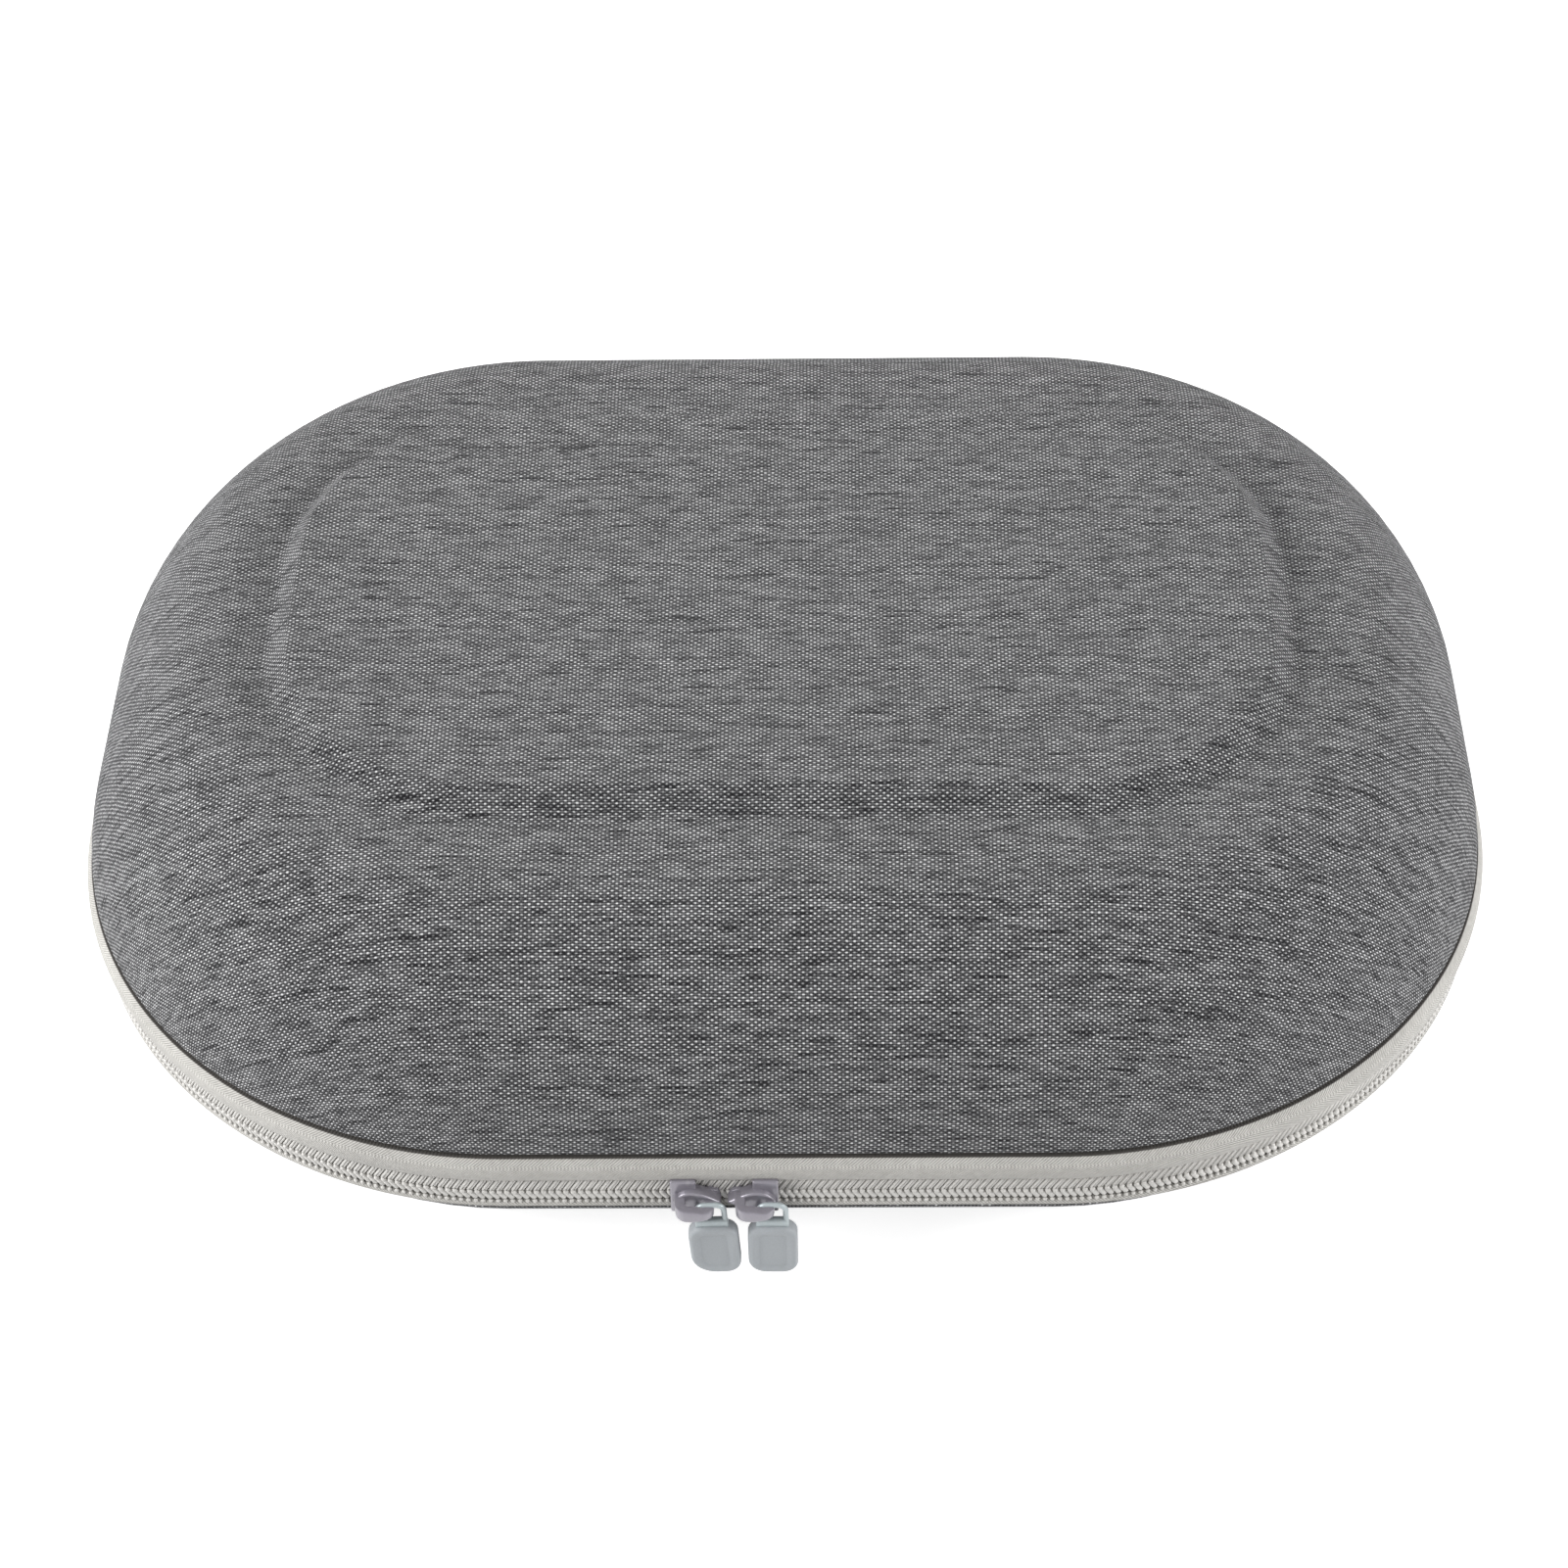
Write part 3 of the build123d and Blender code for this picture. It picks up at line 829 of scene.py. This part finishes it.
def elastic_hem(material):
    """Ribbed elastic along the pocket's mouth."""
    low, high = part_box("pocket_elastic")
    section = rounded_section([(-high.y, low.z), (-high.y, high.z), (-low.y, high.z), (-low.y, low.z)],
                              0.6 * mm)
    hem = straight_band("pocket_elastic_band", section, low.x, high.x, 120)
    for vertex in hem.data.vertices:
        vertex.co.z += 0.15 * mm * math.sin(vertex.co.x / (1.9 * mm) * math.pi)
    dress(hem, material, "elastic", "pocket_elastic", body="lid")


def divider(pad_cloth, seam_cloth):
    """Soft block between the ear cups: crowned sides, a piped seam round the top edge."""
    low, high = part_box("divider_pad")
    corner = 14 * mm
    edge_round = 3 * mm
    pad = block("divider_pad_cover", low, high)
    pick(pad, "edges", lambda edge: run_along(edge, 2) > 5 * mm)
    bpy.ops.mesh.bevel(offset=corner, segments=8)
    pick(pad, "edges", lambda edge: run_along(edge, 2) < mm)
    bpy.ops.mesh.bevel(offset=edge_round, segments=3)
    pick(pad, "faces", lambda face: face.normal.z > 0.99)
    inset(3 * mm, 6 * mm)
    shift(0, 0, 0.5 * mm)
    leave()
    add_modifier(pad, "SUBSURF", levels=2, render_levels=2)
    top = high.z - 0.2 * mm
    for vertex in pad.data.vertices:
        share = (vertex.co.z - low.z) / (high.z - low.z)
        vertex.co.xy *= 1.0 - 0.012 * (2 * share - 1) ** 2
        vertex.co.z = min(vertex.co.z, top)
    dress(pad, pad_cloth, "divider_fabric", "divider_pad", body="base")
    height = high.z - 3.4 * mm
    seam = start_line("divider_seam", 0, low.y - 0.1 * mm, height)
    walk_round(high.x - corner, high.y - corner, height, turn_steps=10)
    dress(make_wire(seam, 0.8 * mm, 2), seam_cloth, "binding", body="base")


# ---- sliders and pulls


def block(name, low, high):
    """A block between two corners, left in edit mode with all of it selected."""
    piece = new_shape(name, bpy.ops.mesh.primitive_cube_add, size=1)
    low, high = Vector(low), Vector(high)
    scale(*(high - low))
    shift(*((low + high) / 2))
    return piece


def outline_block(name, outline, out_low, out_high):
    """A slab parallel to the front: an outline of (x, height) points between two outward distances."""
    x, height = outline[0]
    piece = start_line(name, x, front_y - out_low, height)
    for next_x, next_height in outline[1:] + outline[:1]:
        draw_out(next_x - x, 0, next_height - height)
        x, height = next_x, next_height
    weld()
    pick(piece, "edges", lambda edge: edge.is_boundary or edge.is_wire)
    bpy.ops.mesh.edge_face_add()
    draw_out(0, out_low - out_high, 0)
    return piece


def slider_casting(side, rear, nose):
    """One slider: wing plates before and behind the chain, a boat-shaped middle and a neck between them."""
    way = 1 if nose > rear else -1

    def slab(part, outline, out_low, out_high):
        """A slab of the casting; its outline is in mm from the rear end and from the middle of the zip."""
        points = [(rear + way * x * mm, split_height + height * mm) for x, height in outline]
        return outline_block(f"{side}_{part}", points, out_low * mm, out_high * mm)

    wing = slab("wing", ((0.1, -4.0), (4.6, -4.0), (4.6, 4.3), (0.1, 4.3)), 0.9, 2.0)
    leave()
    soften_edges(wing, 0.35 * mm, 50, 3)
    upper = []
    for k in range(17):
        share = k / 16
        upper.append((0.55 + 8.4 * share, 2.45 * math.sin(math.pi * share ** 0.72)))
    lower = [(x, -height) for x, height in upper[-2:0:-1]]
    boat = slab("boat", upper + lower, 0.8, 2.9)
    draw_out(0, -0.25 * mm, 0)
    scale(0.95, 1, 0.88)
    turn_outward()
    soften_edges(boat, 0.1 * mm, 25)
    neck = slab("neck", ((5.0, 0), (6.6, 1.5), (8.2, 0.9), (8.8, 0), (8.2, -0.9), (6.6, -1.5)), -2.4, 1.2)
    turn_outward()
    soften_edges(neck, 0.2 * mm, 40)
    outline = ((0.1, -3.6), (4.6, -3.6), (8.6, -1.4), (8.9, 0), (8.6, 1.4), (4.6, 3.6), (0.1, 3.6))
    back = slab("back", outline, -3.2, -2.2)
    turn_outward()
    soften_edges(back, 0.25 * mm, 40)
    return join(wing, boat, neck, back)


def crown_bar(side, left, right):
    """The C-shaped crown that holds the link: thick at its left foot, slender at its right one."""
    z = split_height
    top = 6.6 * mm
    bar = 1.4 * mm
    foot = 2.5 * mm
    bend = 2.3 * mm
    span = right - left - 4.3 * mm
    piece = block(side + "_crown", (left, front_y - foot, z - 1.3 * mm),
                  (left + bar * 1.35, front_y - 1.6 * mm, z + 1.5 * mm))
    pick(piece, "faces", lambda face: face.normal.y < -0.9)
    rise = top - foot - bend
    draw_out(0, -rise, 0)
    scale(0.92, 1, 0.94)
    turn_y = front_y - foot - rise
    swing((left + bend, turn_y, z), (0, 0, 1), 90, 5)
    draw_out(span, 0, 0, 2)
    scale(1, 1, 0.72)
    swing((left + bend + span, turn_y, z), (0, 0, 1), 90, 5)
    scale(0.85, 1, 0.72)
    draw_out(0, rise, 0)
    scale(0.8, 1, 0.9)
    draw_out(0, 0.9 * mm, 0)
    close_mesh()
    soften_edges(piece, 0.22 * mm, 40)
    add_modifier(piece, "SUBSURF", levels=1, render_levels=1)
    return piece


def pull(side, axis_x, turn, link_metal, rubber):
    """One pull: a wire link through the crown, moulded into a soft rectangular grip."""
    axis_z = 26.8 * mm
    out = 4.35 * mm
    wide = 5.7 * mm
    wire = 1.0 * mm
    top = axis_z + 0.515 * mm
    y = front_y - out
    half = (wide - wire) / 2
    corner = 1.5 * mm
    foot_run = 0.5 * mm
    foot_rise = 1.2 * mm
    high = top - wire / 2
    low = high - 7.6 * mm
    line = start_line(side + "_link", axis_x, y, high)
    run = half - corner
    straight = high - corner - low - foot_rise
    draw_out(run, 0, 0)
    swing((axis_x + run, y, high - corner), (0, 1, 0), 90, 8)
    draw_out(0, 0, -straight)
    draw_out(-foot_run, 0, -foot_rise)
    draw_out(2 * (foot_run - half), 0, 0)
    draw_out(-foot_run, 0, foot_rise)
    draw_out(0, 0, straight)
    swing((axis_x - run, y, high - corner), (0, 1, 0), 90, 8)
    draw_out(run, 0, 0)
    link = make_wire(line, wire / 2, 4)
    grip_half = Vector((4.35, 1.5, 6.3)) * mm
    grip_middle = Vector((axis_x, y, 15.3 * mm))
    grip_low = grip_middle - grip_half
    grip_high = grip_middle + grip_half
    grip = block(side + "_grip", grip_low, grip_high)
    larger = 4.4 * mm if side == "left" else 3.2 * mm
    pick(grip, "edges", lambda edge: run_along(edge, 1) > mm
         and (middle(edge).z > 15 * mm or middle(edge).x > axis_x))
    bpy.ops.mesh.bevel(offset=2.7 * mm, segments=8)
    pick(grip, "edges", lambda edge: run_along(edge, 1) > mm
         and abs(middle(edge).x - grip_low.x) < 0.1 * mm and abs(middle(edge).z - grip_low.z) < 0.1 * mm)
    bpy.ops.mesh.bevel(offset=larger, segments=8)
    for facing in (-1, 1):
        pick(grip, "faces", lambda face: face.normal.y * facing > 0.99)
        inset(0.8 * mm, 0.7 * mm, 0.35 * mm)
        shift(0, -facing * 0.28 * mm, 0)
        inset(0.3 * mm)
    pick(grip, "edges", lambda edge: abs(abs(middle(edge).y - y) - grip_half.y) < touch
         and edge.calc_face_angle(0.0) > math.radians(60))
    bpy.ops.mesh.bevel(offset=0.75 * mm, segments=4)
    close_mesh()
    shoulder = block(side + "_shoulder", (axis_x - 2.9 * mm, y - 0.75 * mm, 20.9 * mm),
                     (axis_x + 2.9 * mm, y + 0.75 * mm, 22.3 * mm))
    pick(shoulder, "faces", lambda face: face.normal.z > 0.9)
    draw_out(0, 0, 0.8 * mm)
    scale(0.93, 0.8, 1)
    close_mesh()
    soften_edges(shoulder, 0.4 * mm, 30, 3)
    link = join(link, shoulder)
    for piece in (link, grip):
        edit(piece)
        select_all()
        if turn:
            bpy.ops.transform.rotate(value=math.radians(turn), orient_axis="Y",
                                     center_override=(axis_x, y, axis_z))
        close_mesh()
    dress(link, link_metal, "pull_link", side + "_pull_link", body=side + "_pull")
    dress(grip, rubber, "pull_rubber", side + "_pull_grip", body=side + "_pull", smooth=50)


def hinge_strip(material, thread):
    """Fabric hinge: one strip sewn to both halves, bent at the middle of the zip."""
    back = corner_y
    clear = 0.02 * mm
    thick = 0.95 * mm
    proud = 0.05 * mm
    base_wall = base_wall_radius + clear
    lid_wall = lid_wall_radius + clear
    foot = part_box("hinge_strip_base")[0].z
    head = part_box("hinge_strip_lid")[1].z
    foot_lean = math.asin((base_centre_z - foot) / base_wall)
    base_turn = math.degrees(foot_lean - math.asin((base_centre_z - base_rim) / base_wall))
    rim_lean = math.asin((lid_rim - lid_centre_z) / lid_wall)
    lid_turn = math.degrees(math.asin((head - lid_centre_z) / lid_wall) - rim_lean)
    y = back + base_centre_u + base_wall * math.cos(foot_lean)
    strip = start_line("hinge_strip", -hinge_half, y, foot)
    swing((-hinge_half, back + base_centre_u, base_centre_z), (1, 0, 0), base_turn, 5)
    rim_y = back + base_rim_u
    edge_y = half_depth + 0.12 * mm
    draw_out(0, edge_y - rim_y, split_height - base_rim, 5)
    draw_out(0, half_depth - edge_y, lid_rim - split_height, 6)
    swing((-hinge_half, back + lid_centre_u, lid_centre_z), (1, 0, 0), lid_turn, 5)
    select_all()
    draw_out(2 * hinge_half, 0, 0, 28)
    close_mesh()
    facing = sum(face.normal.y for face in strip.data.polygons)
    add_modifier(strip, "SOLIDIFY", thickness=thick, offset=1 if facing > 0 else -1, use_even_offset=True)
    lay_flat(strip, 2)
    soften_edges(strip, 0.25 * mm, 50)
    dress(strip, material, "hinge_fabric", "hinge_strip_lid", "hinge_strip_base")
    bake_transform(strip)
    margin = 2.0 * mm
    side_margin = 3.0 * mm
    for body, level, centre_u, centre_z, wall in (
            ("lid", head - margin, lid_centre_u, lid_centre_z, lid_wall),
            ("base", foot + margin, base_centre_u, base_centre_z, base_wall)):
        surface = back + centre_u + math.sqrt((wall + thick + proud) ** 2 - (level - centre_z) ** 2)
        row = stitch_row(body + "_hinge_stitches", side_margin - hinge_half, -surface, level,
                         2 * (hinge_half - side_margin))
        dress(row, thread, None, body=body)


def stitch_row(name, start, out, height, length):
    """A row of sewn stitches along X."""
    stitch = thread_leg(name, start + 0.9 * mm, out, height, 0.5 * mm, 0.4 * mm, 2.0 * mm, 90)
    return repeat(stitch, int(length / stitch_pitch), stitch_pitch)


# ---- finishes


def herringbone():
    """Zip tape: fine herringbone whose tips point along the zip, with a beaded line in the middle, and
    painted shade under the fabric's edge and on the webs behind the coil.
    """
    finish = Finish("herringbone_tape", 0.75, Specular_IOR_Level=0.3, Sheen_Weight=0.1)
    u, v = finish.cloth()
    centre = (lid_rim + tape_bottom) / 2 + 0.8 * mm
    away = (v - centre).absolute()
    pitch = 0.62 * mm
    rib = (((u - away * 1.35) / pitch).fraction() * math.tau).sine()
    core = 1 - away.between(0.12 * mm, 0.34 * mm)
    bead = (u / pitch * math.tau).sine()
    weave = rib * (1 - core) + bead * core
    fuzz = finish.grain(u, v, 900.0)
    broad = finish.grain(u, v, 60.0)
    # painted shade: a dark band along the top of the lid's tape, where the fabric's edge overhangs it; it
    # also weakens the weave there
    edge_shade = v.between(lid_rim - 0.90 * mm, lid_rim - 0.66 * mm) * 0.70
    # painted shade on the lid's web behind the coil, below the bead
    under = v.between(split_height + 0.6 * mm, tape_bottom - 0.7 * mm)
    under = under * (1 - v.between(tape_bottom, tape_bottom + 0.1 * mm))
    # painted shade on the base's web behind the lower half of the coil
    row = v.between(base_coil_low, base_coil_low + 0.3 * mm)
    row = row * (1 - v.between(split_height - 1.7 * mm, split_height - 1.2 * mm))
    pale = weave * (0.19 - edge_shade * 0.25) + fuzz * 0.25 + broad * 0.2 + 0.34
    shade = pale - edge_shade - under * 0.3 - row * 0.45
    finish.colour(finish.tone(shade, (0.06, 0.055, 0.05), (0.47, 0.457, 0.430), (0.82, 0.806, 0.770)))
    finish.relief(weave * 0.5 + fuzz * 0.3, 0.10 * mm, 0.8)
    return finish.material


def coil_nylon():
    """Monofilament of the chain: pale, a little glossy, finely streaked."""
    finish = Finish("coil_nylon", 0.42, Specular_IOR_Level=0.5)
    point = finish.place()
    fine = finish.noise(point, 1800.0, 2.0)
    broad = finish.noise(point, 120.0, 2.0)
    finish.colour(finish.tone(fine * 0.6 + broad * 0.4, (0.50, 0.487, 0.465), (0.80, 0.785, 0.755)))
    finish.relief(fine, 0.02 * mm, 0.5)
    return finish.material


def painted_metal():
    """Painted zip slider: grey-purple with faint wear in scattered patches."""
    finish = Finish("slider_paint", 0.32, Metallic=0.35, Coat_Weight=0.3, Coat_Roughness=0.2)
    point = finish.place()
    fine = finish.noise(point, 2500.0, 3.0)
    wear = finish.noise(point, 600.0, 3.0).between(0.62, 0.75)
    base = finish.tone(fine, (0.222, 0.21, 0.243), (0.28, 0.265, 0.302))
    finish.colour(finish.blend(wear * 0.35, base, (0.42, 0.41, 0.43, 1)))
    finish.feed(finish.shader.inputs["Roughness"], fine * 0.15 + 0.26)
    finish.relief(fine, 0.015 * mm, 0.4)
    return finish.material


def ribbed(name, colour, pitch, depth, roughness=0.75):
    """Ribbed ribbon: ribs across its length."""
    finish = Finish(name, roughness, Specular_IOR_Level=0.25)
    u, v = finish.cloth()
    rib = (u / pitch * math.tau).sine()
    fuzz = finish.grain(u, v, 1500.0)
    shade = rib * 0.25 + fuzz * 0.4 + 0.3
    finish.colour(finish.tone(shade, [c * 0.6 for c in colour], [c * 1.25 for c in colour]))
    finish.relief(rib, depth, 0.8)
    return finish.material


def net_finish():
    """Net of the pocket: a honeycomb of knitted threads with open holes."""
    finish = Finish("pocket_mesh", 0.7)
    u, v = finish.cloth()
    pitch = 4.6 * mm
    across = u / pitch
    along = v / pitch
    hole = (across * math.tau).sine() * (along * math.tau).sine()
    holes = hole.absolute().between(0.26, 0.32)
    fuzz = finish.grain(u, v, 2500.0)
    finish.colour(finish.tone(fuzz, (0.05, 0.05, 0.055), (0.11, 0.11, 0.115)))
    finish.feed(finish.shader.inputs["Alpha"], 1 - holes)
    finish.relief(fuzz, 0.05 * mm, 0.7)
    return finish.material


def pile(name, colour, scale, depth):
    """Short brushed pile or hook tape."""
    finish = Finish(name, 0.9, Specular_IOR_Level=0.15, Sheen_Weight=0.3)
    point = finish.place()
    tuft = finish.noise(point, scale, 4.0, 0.65)
    lay = finish.noise(point, 35.0, 2.0)
    shade = tuft.between(0.3, 0.7) * 0.6 + lay.between(0.3, 0.7) * 0.4
    finish.colour(finish.tone(shade, [c * 0.45 for c in colour], [c * 1.6 for c in colour]))
    finish.relief(tuft, depth, 0.9)
    return finish.material


# ---- making the case


def fit_zip(piece, line, material, kind, body, smooth=40):
    """Bends one band of the zip round the rim and dresses it."""
    bend_round(piece, line)
    curl_under(piece)
    dress(piece, material, kind, f"{body}_{kind}", body=body, smooth=smooth)


def make_case():
    weave = heather_weave()
    foam = plain_finish("eva_foam", (0.055, 0.055, 0.06), 0.85, 0.12 * mm, 1400.0)
    lining = pile("pile_lining", (0.14, 0.14, 0.15), 800.0, 0.25 * mm)
    tape = herringbone()
    nylon = coil_nylon()
    ribbon = ribbed("binding_ribbon", (0.12, 0.12, 0.125), 0.7 * mm, 0.10 * mm)
    elastic = ribbed("elastic_ribs", (0.10, 0.10, 0.105), 1.3 * mm, 0.2 * mm)
    strip_cloth = heather_weave("hinge_weave")
    paint = painted_metal()
    steel = plain_finish("link_finish", (0.40, 0.45, 0.465), 0.38, 0.01 * mm, 2500.0, Metallic=0.25)
    rubber = plain_finish("pull_rubber", (0.372, 0.395, 0.415), 0.55, 0.015 * mm, 2600.0)
    stop_metal = plain_finish("stop_metal", (0.20, 0.195, 0.21), 0.4, 0.01 * mm, 2500.0, Metallic=0.5)
    pad_cloth = pile("divider_velour", (0.17, 0.17, 0.18), 950.0, 0.22 * mm)
    hooks = pile("hook_tape", (0.04, 0.04, 0.042), 3200.0, 0.3 * mm)
    net = net_finish()
    thread = plain_finish("sewing_thread", (0.42, 0.42, 0.43), 0.6, 0.02 * mm, 3000.0)

    dress(lid_cloth(), weave, "outer_fabric", "lid_cover", body="lid")
    dress(base_layer("base_fabric", 0.0, cover_thick), weave, "outer_fabric", "base_cover", body="base")
    dress(base_layer("base_foam", cover_thick, foam_thick), foam, "eva_foam", "base_shell", body="base")
    lining_depth = cover_thick + foam_thick
    dress(base_layer("base_lining_cloth", lining_depth, lining_thick), lining, "lining", "base_lining",
          body="base")

    line = rim_line()
    for body, section in (("lid", lid_tape_section()), ("base", base_tape_section())):
        band = straight_band(body + "_tape", section, zip_end, rim_length - zip_end, tape_steps)
        fit_zip(band, line, tape, "zip_tape", body)
    lid_legs = ((0, 0.15, 1.55, 0.58, 0.9, 3.3, 28.8), (0.54, 0.10, 1.55, 0.5, 0.8, 3.2, 28.8),
                (-0.45, 0.36, -0.22, 1.05, 0.95, 0.85, 0))
    base_legs = ((0, 0.05, -1.35, 1.2, 1.0, 2.3, -34), (0.45, 0.26, -2.85, 0.85, 0.8, 0.75, 0))
    for body, legs in (("lid", lid_legs), ("base", base_legs)):
        fit_zip(chain_half(body + "_coil", legs), line, nylon, "zip_coil", body, smooth=60)

    lid_ribbon = ((-5.0, 34.9), (-5.05, 37.5), (-5.55, 40.5), (-6.5, 43.3), (-7.1, 43.1), (-6.2, 40.3),
                  (-5.7, 37.5), (-5.7, 34.9))
    base_ribbon = ((-5.3, 22.0), (-6.4, 19.5), (-8.3, 17.0), (-11.5, 14.0), (-12.1, 14.5), (-8.9, 17.5),
                   (-7.0, 20.0), (-6.0, 22.1))
    for body, outline in (("lid", lid_ribbon), ("base", base_ribbon)):
        section = rounded_section([(out * mm, height * mm) for out, height in outline], 0.3 * mm)
        ring = straight_band(body + "_ribbon", section, 0.0, rim_length, ribbon_steps, ring=True)
        bend_round(ring, line, ring=True)
        if body == "base":
            curl_under(ring, base_curl)
        dress(ring, ribbon, "binding", body + "_binding", body=body)
    for body, out, height in (("lid", -6.75 * mm, 41.4 * mm), ("base", -10.4 * mm, 16.3 * mm)):
        stitches = bend_round(stitch_row(body + "_binding_stitches", 0.0, out, height, rim_length), line)
        if body == "base":
            curl_under(stitches, base_curl)
        dress(stitches, thread, None, body=body)
    bpy.data.objects.remove(line)

    pocket_net(net)
    elastic_hem(elastic)
    divider(pad_cloth, ribbon)
    hinge_strip(strip_cloth, thread)

    for side, rear, nose, left, right in (("left", -19.2, -10.2, -18.35, -11.5),
                                          ("right", -0.2, -9.2, -7.9, -1.05)):
        casting = slider_casting(side, rear * mm, nose * mm)
        casting = join(casting, crown_bar(side, left * mm, right * mm))
        casting.name = side + "_casting"
        dress(casting, paint, "slider_metal", side + "_slider_body", body=side + "_slider", smooth=35)
    pull("left", -12.2 * mm, 3.0, steel, rubber)
    pull("right", -1.4 * mm, 0.0, steel, rubber)

    carried = {"lid_shell": foam, "lid_lining": lining, "pocket_binding": ribbon, "zip_stop_left": stop_metal,
               "zip_stop_right": stop_metal, "divider_hook_strips": hooks}
    for node, material in carried.items():
        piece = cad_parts[node]
        piece.data.materials.clear()
        piece.data.materials.append(material)


# ---- camera, light and floor


def lamp(name, width, height, energy, location):
    """A large soft lamp aimed at the middle of the case."""
    clear_bench()
    bpy.ops.object.light_add(type="AREA", location=location)
    light = bpy.context.object
    light.name = name
    light.data.shape = "RECTANGLE"
    light.data.size, light.data.size_y = width, height
    light.data.energy = energy
    aim = Vector((0, 0, aim_height)) - Vector(location)
    light.rotation_euler = aim.to_track_quat("-Z", "Y").to_euler()


def set_stage():
    clear_bench()
    bpy.ops.object.camera_add(location=(10.55 * mm, -457.88 * mm, 500.04 * mm),
                              rotation=[math.radians(a) for a in (44.583, 0.8915, 0.4155)])
    camera = bpy.context.object
    camera.data.sensor_width = 36
    camera.data.lens = 78.107
    camera.data.shift_x = 0.0003
    camera.data.shift_y = -0.0175
    camera.data.clip_start = 0.01
    bpy.context.scene.camera = camera

    lamp("left_lamp", 0.8, 0.5, 13.6, (-0.95, -0.2, 0.62))
    lamp("right_lamp", 0.8, 0.5, 9.6, (1.0, -0.2, 0.48))
    lamp("top_lamp", 1.2, 0.8, 0.3, (0.0, 0.35, 1.15))

    white = (1, 1, 1, 1)
    clear_bench()
    bpy.ops.mesh.primitive_plane_add(size=30, location=(0, 0, -0.05 * mm))
    floor = bpy.context.object
    floor.name = "floor"
    pale = Finish("pale_floor", 0.9, Specular_IOR_Level=0.0, Base_Color=(0.8, 0.8, 0.8, 1))
    glow = pale.node("ShaderNodeEmission", values={"Color": white, "Strength": 0.75})
    both = pale.node("ShaderNodeAddShader", values={0: pale.shader.outputs[0], 1: glow.outputs[0]})
    pale.end("Material Output", pale.shader, both)
    floor.data.materials.append(pale.material)

    world = bpy.data.worlds.new("studio")
    bpy.context.scene.world = world
    world.use_nodes = True
    air = Wiring(world.node_tree)
    sky = air.tree.nodes["Background"]
    air.feed(sky.inputs["Color"], white)
    air.feed(sky.inputs["Strength"], 0.31)
    air.end("World Output", sky, air.node("ShaderNodeBackground", values={"Color": white, "Strength": 1.0}))
    bpy.context.scene.view_settings.view_transform = "Standard"


make_case()
set_stage()
